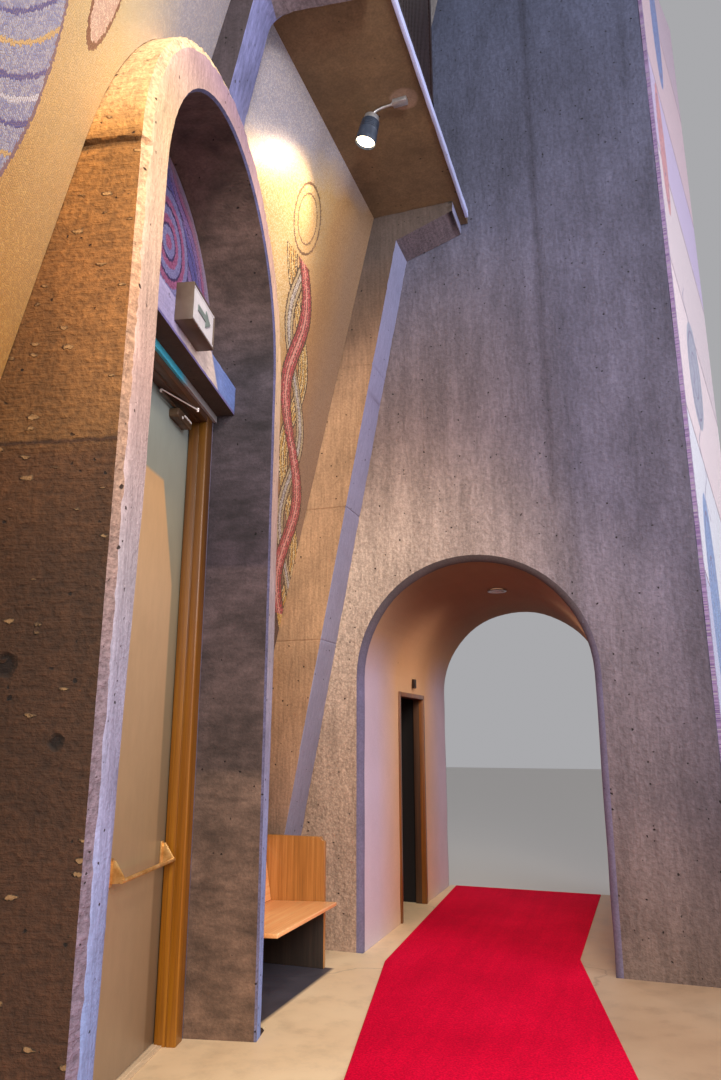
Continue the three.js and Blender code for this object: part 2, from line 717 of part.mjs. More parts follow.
function planPoint(along, across) {
  const c = Math.cos(BAY_TURN);
  const s = Math.sin(BAY_TURN);
  return [along * c - across * s, along * s + across * c];
}

function naveLine() {
  const [x, y] = [NAVE_ARRIS, PIER_NEAR];
  return x * Math.cos(BAY_TURN) + y * Math.sin(BAY_TURN);
}

function floorSlab() {
  const edge = naveLine();
  const outer = -3600;
  const lap = 40;
  const clear = 10;
  const half = PORTAL_HALF - GAP;
  const beforePier = solid(box(-FAR_AWAY, FAR_AWAY, -FAR_AWAY, PIER_NEAR - GAP, BASE, 0));
  const strip = solid(turned(box(outer, edge, BAY_MID, FAR_AWAY, BASE, 0))).intersect(beforePier);
  const bay = strip.add(solid(mirrored(geometryOf(strip)))).subtract(wallCutter()).subtract(doorwayPlug(GAP));
  const outside = solid(drawn([
    [-2 * FAR_AWAY, BASE], [outerFace(BASE) + clear, BASE],
    [outerFace(0) + clear, 0], [-2 * FAR_AWAY, 0],
  ], -FAR_AWAY, FAR_AWAY));
  const inside = bay.subtract(outside).subtract(solid(mirrored(geometryOf(outside))));
  const through = solid(turned(box(
    PORTAL_BACK, PORTAL_FRONT + lap, BAY_MID - half, BAY_MID + half, BASE, 0)));
  const passage = solid(box(PASSAGE_OUT + GAP, PASSAGE_IN - GAP, PIER_NEAR - lap, PIER_FAR, BASE, 0));
  const recess = solid(box(
    PASSAGE_OUT - RECESS_DEPTH + GAP, PASSAGE_OUT + lap, RECESS_NEAR + GAP, RECESS_FAR - GAP, BASE, 0));
  return piece('floor_slab', geometryOf(inside.add(through).add(passage).add(recess)), screed);
}

function carpet() {
  const plan = [
    CARPET_FAR_LEFT, CARPET_BEND_LEFT,
    planPoint(CARPET_OUT, CARPET_END_LEFT), planPoint(CARPET_IN, CARPET_END_RIGHT),
    CARPET_BEND_RIGHT, CARPET_FAR_RIGHT,
  ];
  return piece('carpet_runner', raised(plan, GAP, CARPET_THICK), redCarpet);
}

const building = new THREE.Group();
building.add(
  floorSlab(), carpet(),
  wallLeg('pier_wall_leg_near', PIER_NEAR, RECESS_NEAR), wallLeg('pier_wall_leg_far', RECESS_FAR, PIER_FAR),
  recessBack(), naveLeg(), pierHead(), pierShaft(),
  pierMosaic('pier_mosaic_near', false), pierMosaic('pier_mosaic_far', true),
  ...recessLining(), downlight(), sensor(),
  ...leaningWall(), ...gallery(), spotlight(), doorway(), ...bench(),
);

const bounds = new THREE.Box3().setFromObject(building, true);
const middle = bounds.getCenter(new THREE.Vector3());
building.position.set(-middle.x, -middle.y, -bounds.min.z);

const group = new THREE.Group();
group.add(building);

export default group;
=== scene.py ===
"""One bay of a round church in cast concrete: a deep pier with an arched passage, two
mosaic wall panels that lean in, and an arched doorway that stands upright through them.
Metres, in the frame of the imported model, whose floor lies 0.15 above its underside.
"""

import math

import bmesh
import bpy
from mathutils import Matrix, Vector, noise


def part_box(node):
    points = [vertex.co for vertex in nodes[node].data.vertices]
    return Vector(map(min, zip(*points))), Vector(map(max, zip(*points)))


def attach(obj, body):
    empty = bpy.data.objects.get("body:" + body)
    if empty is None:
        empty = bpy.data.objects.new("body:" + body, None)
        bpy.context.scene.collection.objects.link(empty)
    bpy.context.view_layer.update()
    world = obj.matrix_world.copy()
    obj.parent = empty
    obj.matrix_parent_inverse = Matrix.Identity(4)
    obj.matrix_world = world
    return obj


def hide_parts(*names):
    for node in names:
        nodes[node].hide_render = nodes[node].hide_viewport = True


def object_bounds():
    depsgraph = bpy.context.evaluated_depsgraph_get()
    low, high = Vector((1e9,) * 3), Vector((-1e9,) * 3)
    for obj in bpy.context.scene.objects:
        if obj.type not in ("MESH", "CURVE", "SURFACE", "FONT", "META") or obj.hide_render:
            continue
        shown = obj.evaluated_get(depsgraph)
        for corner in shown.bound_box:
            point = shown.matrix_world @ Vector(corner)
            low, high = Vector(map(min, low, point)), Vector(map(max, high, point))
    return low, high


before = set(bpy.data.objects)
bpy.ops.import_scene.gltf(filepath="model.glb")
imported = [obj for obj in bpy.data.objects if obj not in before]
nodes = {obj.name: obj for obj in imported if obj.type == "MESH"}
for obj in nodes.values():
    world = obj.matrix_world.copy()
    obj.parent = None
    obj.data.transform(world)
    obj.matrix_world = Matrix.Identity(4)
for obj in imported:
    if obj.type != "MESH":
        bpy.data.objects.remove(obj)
cad_low, cad_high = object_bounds()

# Floor of the bay and of the passage
# A cement screed on the ground slab, trowelled by hand and sealed: beige, with broad pale
# and dark clouds, a few hair cracks and a satin gloss where feet have polished it.

FLOOR = 0.15


def linear(colour):
    """An sRGB hex colour as the linear values that a socket takes."""
    parts = [int(colour[i:i + 2], 16) / 255 for i in (1, 3, 5)]
    return [p / 12.92 if p <= 0.04045 else ((p + 0.055) / 1.055) ** 2.4 for p in parts] + [1.0]


def add(kind, *values, stops=None, **named):
    """Adds a node to the material being made, and gives its first output. A second word is
    its operation. Values go to its inputs in order, a name with a capital is an input's and
    another a setting's, and stops are a colour ramp's."""
    kind, _, operation = kind.partition(" ")
    node = tree.nodes.new("ShaderNode" + kind)
    settings = {name: value for name, value in named.items() if name.islower()}
    if kind == "Mix":
        settings = {"data_type": "RGBA", "blend_type": operation or "MIX"}
    elif operation:
        settings["operation"] = operation
    for name, value in settings.items():
        setattr(node, name, value)
    feeds = list(zip([socket for socket in node.inputs if socket.enabled], values))
    feeds += [(node.inputs[name], value) for name, value in named.items() if not name.islower()]
    for socket, value in feeds:
        if isinstance(value, bpy.types.NodeSocket):
            tree.links.new(value, socket)
        else:
            socket.default_value = linear(value) if isinstance(value, str) else value
    if stops:
        points = node.color_ramp.elements
        while len(points) < len(stops):
            points.new(1.0)
        for point, (at, colour) in zip(points, stops):
            point.position = at
            point.color = linear(colour) if isinstance(colour, str) else (colour, colour, colour, 1)
    return next(socket for socket in node.outputs if socket.enabled)


def new_finish(name, roughness, metallic=0.0):
    """Starts a material: what is added next goes to its tree, on the object's own place."""
    global tree, shader, place
    material = bpy.data.materials.new(name)
    material.use_nodes = True
    tree = material.node_tree
    shader = tree.nodes["Principled BSDF"]
    shader.inputs["Roughness"].default_value = roughness
    shader.inputs["Metallic"].default_value = metallic
    place = add("TexCoord").node.outputs["Object"]
    return material


def lay(value, socket="Base Color"):
    """Feeds the shader of the material being made."""
    tree.links.new(value, shader.inputs[socket])


def blotches(size, detail=4.0, rough=0.6, stretch=(1, 1, 1), turn=(0, 0, 0)):
    """Noise with blotches of a real size in metres. Stretch is how long they are drawn."""
    drawn = add("Mapping", place, Scale=[1 / s for s in stretch], Rotation=turn)
    return add("TexNoise", drawn, Scale=0.5 / size, Detail=detail, Roughness=rough)


def relief(height, depth, strength=1.0, **under):
    """Bump of a real depth in metres, laid on another bump if one is given as Normal."""
    normal = add("Bump", strength, depth, Height=height, **under)
    lay(normal, "Normal")
    return normal


def give(name, material):
    """Gives a carried-over node its material."""
    for holder in nodes[name].material_slots:
        holder.material = material


# Where the floor carries a painted shadow under the bench's seat.
SEAT_EDGE, BENCH_START, BENCH_END = -0.98, 0.0, 1.15
# Cement screed, trowelled: faint clouds and hair cracks, and a gloss that comes and goes.
screed = new_finish("trowelled_cement_screed", 0.42)
clouds = blotches(0.7, 6)
stains = blotches(0.09, 5, 0.7)
base = add("ValToRGB", clouds, stops=[(0.3, "#dcbc94"), (0.52, "#ecd0a8"), (0.72, "#f4deb8")])
side, deep = add("SeparateXYZ", place).node.outputs[:2]
# Painted shade: the floor darkens towards the nave side.
painted_shade_to_nave = add("MapRange", side, 0.1, 0.8, 0.0, 0.95)
base = add("Mix MULTIPLY", painted_shade_to_nave, base, "#c8bcbc")
by_wall = add("MapRange", side, SEAT_EDGE - 0.03, SEAT_EDGE, 1.0, 0.0)
by_end = add("MapRange", deep, BENCH_END - 0.02, BENCH_END, 1.0, 0.0)
near_end = add("MapRange", deep, BENCH_START - 0.1, BENCH_START)
# Painted shadow of the bench's seat: a dark blue-grey over the screed.
painted_bench_shadow = add("Math MULTIPLY", by_wall, by_end)
painted_bench_shadow = add("Math MULTIPLY", painted_bench_shadow, near_end)
base = add("Mix MULTIPLY", painted_bench_shadow, base, "#50587a")
spots = add("ValToRGB", stains, stops=[(0.32, 0.82), (0.5, 0.98), (0.62, 1.0)])
base = add("Mix MULTIPLY", 0.8, base, spots)
crack_place = add("Mapping", place, Scale=(0.7, 0.9, 0.7))
bend = add("TexNoise", crack_place, Scale=3.0, Detail=5.0).node.outputs[1]
crack_place = add("Mix LINEAR_LIGHT", 0.12, crack_place, bend)
cells = add("TexVoronoi", crack_place, Scale=0.42, feature="DISTANCE_TO_EDGE")
hair = add("ValToRGB", cells, stops=[(0.0, 0.55), (0.003, 1.0)])
base = add("Mix MULTIPLY", 0.6, base, hair)
lay(base)
gloss = add("MapRange", stains, 0.0, 1.0, 0.34, 0.6)
lay(gloss, "Roughness")
relief(blotches(0.02, 6, 0.7), 0.0007)
give("floor_slab", screed)

# Pier
# One concrete wall, cast in lifts with a passage left through it. Its faces have a coarse
# pebbly render, smoother in a band round the arch, and a joint between two boardings runs
# up the face. The passage is lined in fine plaster with a hand-rounded, darker edge.

nave_leg_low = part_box("pier_nave_leg")[0]
LEG_ASIDE, LEG_AHEAD = -0.306, 6.178
ORIGIN = Vector((nave_leg_low.x - LEG_ASIDE, nave_leg_low.y - LEG_AHEAD, FLOOR))
PIER_NEAR = ORIGIN.y + LEG_AHEAD
PIER_FAR = ORIGIN.y + 9.144
RECESS = (ORIGIN.y + 7.205, ORIGIN.y + 8.117)
PASSAGE_OUT = ORIGIN.x - 2.156
PASSAGE_IN = ORIGIN.x + LEG_ASIDE
PASSAGE_MIDDLE = (PASSAGE_OUT + PASSAGE_IN) / 2
PASSAGE_SPRING = FLOOR + 2.09
PASSAGE_HALF = (PASSAGE_IN - PASSAGE_OUT) / 2
BOARDING_JOINT = ORIGIN.x - 0.527
ROUNDING = 0.055
LINING_DEEP = 0.1
RECESS_BACK = PASSAGE_OUT - 0.901
RECESS_HIGH = FLOOR + 2.032


def cut(bm, axis, places):
    """Cuts a mesh into strips by planes square to an axis."""
    for at in places:
        bmesh.ops.bisect_plane(bm, geom=bm.verts[:] + bm.edges[:] + bm.faces[:],
            plane_co=Vector(axis) * at, plane_no=axis)


def steps(low, high, step):
    """Places from low to high, about a step apart."""
    count = max(1, round((high - low) / step))
    return [low + (high - low) * i / count for i in range(1, count)]


def round_over(bm, edges, width, segments=2):
    """Rounds some edges, and gives the faces made."""
    return bmesh.ops.bevel(bm, geom=edges, offset=width, offset_type="OFFSET", segments=segments,
        profile=0.5, affect="EDGES", material=-1)["faces"]


def copy_of(names, split=()):
    """A mesh of copies of these nodes, each with its loose triangles merged into faces."""
    bm = bmesh.new()
    for name in names:
        part = bmesh.new()
        part.from_mesh(nodes[name].data)
        bmesh.ops.remove_doubles(part, verts=part.verts, dist=0.00005)
        bmesh.ops.dissolve_limit(part, angle_limit=0.004, verts=part.verts, edges=part.edges)
        cut(part, (0, 1, 0), split)
        shape = bpy.data.meshes.new("part")
        part.to_mesh(shape)
        part.free()
        bm.from_mesh(shape)
        bpy.data.meshes.remove(shape)
    return bm


def join_lifts(bm):
    """Takes out the faces where lifts meet, a hair apart, and merges the lifts."""
    bm.normal_update()
    middles = [(f.calc_center_median(), f) for f in bm.faces if abs(f.normal.z) > 0.9]
    inner = {f for middle, f in middles for other, g in middles
        if f.normal.z * g.normal.z < 0 and (middle - other).length < 0.001}
    bmesh.ops.delete(bm, geom=list(inner), context="FACES")
    bmesh.ops.remove_doubles(bm, verts=bm.verts, dist=0.001)


def wear(bm, size, depth, seed=0.0):
    """Lowers a surface unevenly, with hollows of a real size and depth."""
    bm.normal_update()
    for v in bm.verts:
        level = noise.noise(v.co / size + Vector((seed, seed, seed)))
        v.co -= v.normal * depth * max(0.0, 0.5 + level)


def make(name, bm, materials, stands_for, body="root"):
    """The finished object: smooth faces, with edges that turn more than 32 degrees left hard."""
    for face in bm.faces:
        face.smooth = True
    for edge in bm.edges:
        edge.smooth = edge.calc_face_angle(0.0) < math.radians(32)
    mesh = bpy.data.meshes.new(name)
    bm.to_mesh(mesh)
    bm.free()
    piece = bpy.data.objects.new(name, mesh)
    bpy.context.scene.collection.objects.link(piece)
    for material in materials:
        mesh.materials.append(material)
    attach(piece, body)
    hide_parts(*stands_for)
    return piece


def height_tone(tones):
    """A colour that changes with the height in metres over the floor: dust and soot in some finishes,
    painted light and shade in others.
    """
    height = add("SeparateXYZ", place).node.outputs[2]
    share = add("MapRange", height, cad_low.z, cad_high.z)
    whole = cad_high.z - cad_low.z
    return add("ValToRGB", share, stops=[((FLOOR + at) / whole, tone) for at, tone in tones])


def vary(base, pattern, amount, spread=0.15):
    """Lightens and darkens a colour by a pattern, evenly round its own tone."""
    factor = add("MapRange", pattern, 0.5 - spread, 0.5 + spread, 1 - amount, 1 + amount)
    return add("Mix MULTIPLY", 1.0, base, factor)


def air_holes(where, spacing, share, widest):
    """Air holes, at most one to each cell of spacing metres: 1 in a hole, 0 outside."""
    cells = add("TexVoronoi", where, Scale=1 / spacing)
    chance = add("SeparateColor", cells.node.outputs["Color"])
    wide = add("MapRange", chance, 1 - share, 1.0, 0.0, widest / spacing)
    return add("MapRange", add("Math SUBTRACT", wide, cells), 0.0, 0.06)


def cast_finish(name, tone, marks, marks_depth, grit, grit_depth, pitted, cloud=0.6, uneven=0.16,
        marked=0.2, speckled=0.25, fins=0.0):
    """Concrete or render. Tone is a list of tones by height, or a function that makes the
    colour. On it come clouds, marks drawn out by marks (metres along x, y and z), grit, a
    share of air holes, and fins where the boards let mortar through, lightened as painted
    highlights."""
    material = new_finish(name, 0.92)
    base = tone() if callable(tone) else height_tone(tone)
    base = vary(base, blotches(cloud, 6, 0.62), uneven)
    finest = min(marks)
    grain = blotches(finest, 6, 0.62, [m / finest for m in marks])
    base = vary(base, grain, marked)
    fine = blotches(grit, 3, 0.6)
    base = vary(base, fine, speckled)
    bend = add("TexNoise", place, Scale=40.0, Detail=3.0).node.outputs[1]
    bent = add("Mix LINEAR_LIGHT", 0.012, place, bend)
    hole = air_holes(bent, 0.045, pitted, 0.009)
    base = add("Mix MULTIPLY", hole, base, "#5a504a")
    deep = add("Math MULTIPLY_ADD", hole, -1.2, fine)
    if fins:
        flat = add("Mapping", bent, Location=(3.1, 1.7, 0.4), Scale=(1, 1, 2.6))
        fin_and_highlight = air_holes(flat, 0.11, fins, 0.03)
        # Painted highlight: the fins are lightened.
        base = add("Mix SCREEN", add("Math MULTIPLY", fin_and_highlight, 0.5), base, "#a08058")
        torn = air_holes(bent, 0.26, fins, 0.05)
        base = add("Mix MULTIPLY", torn, base, "#6a5446")
        deep = add("Math MULTIPLY_ADD", fin_and_highlight, 2.2, deep)
        deep = add("Math MULTIPLY_ADD", torn, -1.6, deep)
    lay(base)
    under = relief(grain, marks_depth)
    relief(deep, grit_depth, Normal=under)
    return material


def pier_tone():
    """Painted light: warm where the wall's lamps reach it and cool by the nave, with painted
    shade towards the top and paler in a band round the arch. The render is pebbly low down
    by the wall and smooth round the arch."""
    warm = height_tone([(0, "#94745e"), (1.2, "#94765e"), (1.8, "#9a7e68"), (3.0, "#c8ac94"),
        (4.2, "#7e685c"), (6.2, "#4c5066"), (8.5, "#384056")])
    cool = height_tone([(0, "#645048"), (1.2, "#564c56"), (2.8, "#625c6e"), (5.0, "#525064"),
        (8.5, "#4c526c")])
    side, _, over = add("SeparateXYZ", place).node.outputs
    share = add("MapRange", side, PASSAGE_OUT - 0.2, BOARDING_JOINT + 0.2)
    base = add("Mix", share, warm, cool)
    up = add("Math SUBTRACT", over, PASSAGE_SPRING)
    up = add("Math MAXIMUM", up, 0.0)
    out = add("Math SUBTRACT", side, PASSAGE_MIDDLE)
    away = add("CombineXYZ", out, up)
    away = add("VectorMath LENGTH", away)
    wander = blotches(0.25, 4)
    away = add("Math MULTIPLY_ADD", wander, 0.35, away)
    halo = add("MapRange", away, 1.35, 2.0, 0.8, 0.0)
    cooled = add("MapRange", share, 0.0, 1.0, 1.0, 0.35)
    halo = add("Math MULTIPLY", halo, cooled)
    base = add("Mix SCREEN", halo, base, "#78695e")
    base = vary(base, blotches(0.05, 4, 0.6, (1, 1, 12)), 0.1)
    base = vary(base, blotches(0.16, 3, 0.5, (1, 1, 4)), 0.16)
    low = add("MapRange", over, FLOOR + 2.6, FLOOR + 4.2, 0.85, 0.15)
    coarse = add("MapRange", side, PASSAGE_MIDDLE, PASSAGE_IN, 1.0, 0.3)
    coarse = add("Math MULTIPLY", coarse, low)
    pebbles = add("TexVoronoi", place, Scale=1 / 0.017)
    gaps = add("MapRange", pebbles, 0.3, 0.75, 1.08, 0.76)
    base = add("Mix MULTIPLY", coarse, base, gaps)
    off = add("Math SUBTRACT", side, BOARDING_JOINT)
    off = add("Math ABSOLUTE", off)
    seam = add("MapRange", off, 0.012, 0.045, 0.4, 0.0)
    above = add("MapRange", over, FLOOR + 3.0, FLOOR + 3.8)
    seam = add("Math MULTIPLY", seam, above)
    return add("Mix MULTIPLY", seam, base, "#b4aeae")


def plaster_tone():
    """Lilac by the open ends of the passage, warm by the side doorway, and painted shade that turns it
    brown in the vault.
    """
    ends = height_tone([(0, "#d0c0c8"), (1.2, "#c4b4c8"), (2.1, "#b09cac"), (2.5, "#a07c5e"),
        (2.9, "#785438")])
    warm = height_tone([(0, "#dcb898"), (1.8, "#d0aa88"), (2.3, "#b08660"), (2.9, "#7c563a")])
    depth = add("SeparateXYZ", place).node.outputs[1]
    middle = sum(RECESS) / 2
    off = add("Math SUBTRACT", depth, middle)
    off = add("Math ABSOLUTE", off)
    share = add("MapRange", off, 0.5, 1.1)
    return add("Mix", share, warm, ends)


# Thrown render: a dull pebbly skin, dotted with air holes.
render_coat = cast_finish("pebbly_render_on_concrete", pier_tone, (0.012, 0.012, 0.07), 0.005, 0.014,
    0.013, 0.4, uneven=0.14, marked=0.12, speckled=0.14)
# Lime plaster, floated fine: matt, with hardly any grain.
plaster = cast_finish("fine_lime_plaster", plaster_tone, (0.2, 0.2, 0.2), 0.001, 0.006, 0.001, 0.02,
    uneven=0.05, marked=0.03, speckled=0.04)
# The same plaster rounded by hand: darker and dented, with painted shade that turns it black-brown in the
# vault.
edge_plaster = cast_finish("plaster_of_the_rounded_edge",
    [(0, "#706880"), (2.0, "#625c78"), (2.6, "#50464c"), (3.1, "#443634")], (0.1, 0.1, 0.1), 0.001, 0.008,
    0.003, 0.1, uneven=0.1, marked=0.1, speckled=0.12)
# Painted shade: the unlit recess drawn nearly black, so that it reads as a dark hole.
recess_painted_shade = cast_finish("recess_in_painted_shade", [(0, "#0e0402"), (2.1, "#0a0302")], (0.2, 0.2, 0.2),
    0.001, 0.005, 0.001, 0.02, uneven=0.1, marked=0.05, speckled=0.1)

PIER_PARTS = ("pier_wall_leg_near", "pier_wall_leg_far", "pier_nave_leg", "pier_head", "pier_shaft")
bm = copy_of(PIER_PARTS, RECESS)
join_lifts(bm)


def in_passage(face):
    """True for the faces that line the passage."""
    middle = face.calc_center_median()
    across = math.hypot(middle.x - PASSAGE_MIDDLE, max(0.0, middle.z - PASSAGE_SPRING))
    return abs(face.normal.y) < 0.1 and across < PASSAGE_HALF + 0.004 and PIER_NEAR < middle.y < PIER_FAR


arris = [e for e in bm.edges if len(e.link_faces) == 2 and sum(in_passage(f) for f in e.link_faces) == 1
    and all(min(abs(v.co.y - PIER_NEAR), abs(v.co.y - PIER_FAR)) < 0.001 for v in e.verts)]
rounded = round_over(bm, arris, ROUNDING, 5)
for face in bm.faces:
    face.material_index = 2 if face in rounded else 1 if in_passage(face) else 0
cut(bm, (1, 0, 0), [PASSAGE_OUT - LINING_DEEP])
# The recess inside the passage is given the painted shade.
for face in bm.faces:
    middle = face.calc_center_median()
    in_recess = RECESS[0] - 0.001 < middle.y < RECESS[1] + 0.001 and middle.z < RECESS_HIGH
    if in_recess and RECESS_BACK < middle.x < PASSAGE_OUT - LINING_DEEP:
        face.material_index = 3
cut(bm, (1, 0, 0), [BOARDING_JOINT - 0.008, BOARDING_JOINT, BOARDING_JOINT + 0.008])
cut(bm, (0, 1, 0), steps(PIER_NEAR + ROUNDING, PIER_FAR - ROUNDING, 0.16))
cut(bm, (0, 0, 1), steps(0, cad_high.z, 0.075))
cut(bm, (1, 0, 0), steps(cad_low.x, cad_high.x, 0.06))
joint = [v for v in bm.verts if abs(v.co.x - BOARDING_JOINT) < 0.001 and v.co.z > FLOOR + 3.3]
for v in joint:
    v.co.y += 0.002 if v.co.y < PIER_NEAR + 0.001 else 0.0
wear(bm, 0.35, 0.006)
make("pier", bm, [render_coat, plaster, edge_plaster, recess_painted_shade], PIER_PARTS)

# The recess's back wall carries the painted shade on the passage's side only, and is bare concrete outside.
bm = copy_of(("side_recess_back",))
bm.normal_update()
for face in bm.faces:
    face.material_index = 1 if face.normal.x < -0.5 else 0
make("recess_back", bm, [recess_painted_shade, render_coat], ("side_recess_back",))

# Doorway through the leaning wall
# Two upright walls and a round vault, cast in three lifts against rough sawn boards. The
# outer side shows the boards and their fins, a lip at one lift joint and a broken ledge
# where the vault was cast. The narrow front is smoother, with a ragged chamfer outside
# and a thin fillet inside.

BAY_TURN = math.radians(12)
DOORWAY = Matrix.Translation(ORIGIN) @ Matrix.Rotation(BAY_TURN, 4, "Z") @ Matrix.Translation((0, 3.684, 0))
ALONG = (DOORWAY.to_3x3() @ Vector((1, 0, 0))).normalized()
ACROSS = (DOORWAY.to_3x3() @ Vector((0, 1, 0))).normalized()
FRONT = -1.18
PORTAL_OUTER = 1.206
PORTAL_INNER = 0.976
VAULT_SPRING = 3.97
LIP = 2.66


def from_doorway(way):
    """How far a point is from the middle of the doorway's foot along a direction."""
    return add("VectorMath DOT_PRODUCT", add("VectorMath SUBTRACT", place, DOORWAY.translation), way)


def board_tone():
    """Painted light: golden high up where the lamps reach and brown below. Dark along the lift
    joint, partly the joint's own colour and partly painted shadow, and a painted shadow in a
    wedge under the ledge that gets taller away from the front."""
    base = height_tone([(0, "#402718"), (2.2, "#3a2414"), (2.62, "#4c301a"), (2.68, "#644424"),
        (3.4, "#88592c"), (3.96, "#946430"), (4.02, "#b88448"), (4.25, "#d3a878"), (4.7, "#dcb890")])
    base = vary(base, blotches(0.06, 4, 0.6, (1, 1, 9)), 0.12)
    height = add("SeparateXYZ", place).node.outputs[2]
    wander = blotches(0.05, 4, 0.7)
    level = add("Math MULTIPLY_ADD", wander, 0.03, height)
    back = from_doorway(-ALONG)
    # Painted shadow in a wedge under the ledge.
    shadow_wedge = add("MapRange", back, -FRONT, -FRONT + 0.7, 0.02, 0.11)
    below = add("Math SUBTRACT", FLOOR + VAULT_SPRING + 0.01, level)
    depth = add("Math DIVIDE", below, shadow_wedge)
    shade = add("ValToRGB", depth, stops=[(0.0, 1.0), (0.06, 0.35), (0.5, 0.5), (1.0, 1.0)])
    base = add("Mix MULTIPLY", 1.0, base, shade)
    # Dark lift joint: partly its own colour, partly painted shadow.
    off = add("Math SUBTRACT", level, FLOOR + LIP + 0.02)
    off = add("Math ABSOLUTE", off)
    joint = add("MapRange", off, 0.004, 0.014, 0.8, 0.0)
    return add("Mix MULTIPLY", joint, base, "#705040")


# Concrete from sawn boards: raised grain and fins that throw small shadows, with painted highlights on the
# fins.
board_coat = cast_finish("rough_sawn_board_marked_concrete", board_tone, (0.05, 0.05, 0.006), 0.009, 0.012,
    0.013, 0.5, cloud=0.4, uneven=0.24, marked=0.17, speckled=0.24, fins=0.8)
# Concrete from planed boards: fine upright streaks, with painted light: cool below, lamp-warm above and
# shaded at the crown.
front_coat = cast_finish("planed_board_concrete_face",
    [(0, "#7c8ec4"), (0.8, "#8092c2"), (1.4, "#8c8cac"), (2.2, "#9a9098"), (3.0, "#b4948a"),
    (4.2, "#ccac88"), (4.8, "#b09090"), (5.2, "#8c7490")], (0.010, 0.010, 0.07), 0.004, 0.008, 0.004, 0.5,
    cloud=0.2, uneven=0.12, marked=0.15, speckled=0.1)
# Concrete from plywood: flat and cloudy, with thin dark lift joints.
inner_coat = cast_finish("plywood_formed_concrete",
    [(0, "#685040"), (1.36, "#5c4a40"), (1.405, "#54443c"), (1.413, "#2c2220"), (1.421, "#4a3c38"),
    (2.64, "#42363a"), (2.645, "#42363a"), (2.652, "#282024"), (2.66, "#382e36"), (4.0, "#363036"),
    (4.6, "#52423e"), (5.2, "#5c4a42")], (0.09, 0.09, 0.03), 0.003, 0.008, 0.004, 0.3, cloud=0.16,
    uneven=0.42, marked=0.3, speckled=0.14)
# Neat cement run by trowel: smooth and violet-grey.
fillet_coat = cast_finish("cement_fillet_on_the_inner_edge",
    [(0, "#68647c"), (1.5, "#504c64"), (3.5, "#484460"), (5, "#54547c")], (0.02, 0.02, 0.05), 0.001, 0.006,
    0.002, 0.1)
# A broken edge: small nicks that catch the light, with painted light, cool low down and lamp-warm above.
chamfer_coat = cast_finish("notched_concrete_chamfer",
    [(0, "#786c84"), (1.8, "#74646c"), (2.6, "#9c7c68"), (3.3, "#bc9070"), (4.0, "#d0a880"),
    (4.8, "#dcc09c")], (0.03, 0.03, 0.012), 0.012, 0.01, 0.008, 0.5, marked=0.2)

PORTAL_PARTS = ("portal_near_wall", "portal_far_wall", "portal_vault")
bm = copy_of(PORTAL_PARTS)
join_lifts(bm)
bmesh.ops.transform(bm, matrix=DOORWAY.inverted(), verts=bm.verts)


def reach_of(at):
    """How far a point of the doorway is from its middle line."""
    return math.hypot(at.y, max(0.0, at.z - VAULT_SPRING))


bm.normal_update()
for face in bm.faces:
    reach = reach_of(face.calc_center_median())
    if face.normal.x > 0.95:
        face.material_index = 1
    elif face.normal.x > 0.2:
        face.material_index = 4 if reach > (PORTAL_INNER + PORTAL_OUTER) / 2 else 3
    elif reach < PORTAL_INNER + 0.02:
        face.material_index = 2

cut(bm, (1, 0, 0), steps(-2.95, FRONT - 0.03, 0.035) + [FRONT - 0.011])
for ledge in (LIP, VAULT_SPRING):
    cut(bm, (0, 0, 1), [ledge + step for step in (-0.032, -0.016, 0.0, 0.012)])
cut(bm, (0, 0, 1), steps(-FLOOR, 5.2, 0.03))
cut(bm, (0, 1, 0), steps(-1.25, 1.25, 0.035))
bm.normal_update()

for v in bm.verts:
    reach = reach_of(v.co)
    outer = reach > PORTAL_OUTER - 0.002
    edge = v.co.x > FRONT - 0.05 and reach > PORTAL_OUTER - 0.06
    if v.co.x < FRONT - 1.6 or v.co.z < -FLOOR + 0.01:
        continue
    rough = noise.noise(v.co / 0.05) + 0.6 * noise.noise(v.co / 0.02)
    broad = noise.noise(v.co / 0.5)
    inward = v.normal * -1
    if outer or edge:
        v.co += inward * (0.006 + 0.005 * broad + 0.0035 * rough)
        below = VAULT_SPRING - v.co.z
        if 0.004 < below < 0.05:
            v.co += inward * 0.024 * (0.8 + 0.4 * noise.noise(v.co / 0.2))
        elif -0.02 < v.co.z - LIP < 0.004:
            v.co -= inward * 0.005 * (1 + noise.noise(v.co / 0.03))
        if edge and v.co.x > FRONT - 0.035:
            chips = max(0.0, noise.noise(v.co / 0.028) + 0.15)
            v.co += inward * 0.014 * chips
    else:
        v.co += inward * (0.0015 + 0.001 * rough + 0.0015 * broad)
bmesh.ops.transform(bm, matrix=DOORWAY, verts=bm.verts)
make("portal", bm, [board_coat, front_coat, inner_coat, fillet_coat, chamfer_coat],
    PORTAL_PARTS)

# Leaning wall and its mosaics
# Two cast panels with mosaic on a mortar bed. Gold glass pieces about 10 mm wide make the
# ground, silver ones the top. On them lie a braid of rose and ochre bands with a zigzag
# foot, and on the near panel a large fan of silver blue with gold ribs.

TESSERA = 0.010

# Plain cast concrete: grey-brown, with long upright streaks.
wall_coat = cast_finish("cast_wall_concrete", [(0, "#8c7c6e"), (9, "#7c7878")], (0.015, 0.015, 0.12),
    0.003, 0.01, 0.004, 0.3)
for name in ("far_wall", "near_wall"):
    give(name, wall_coat)


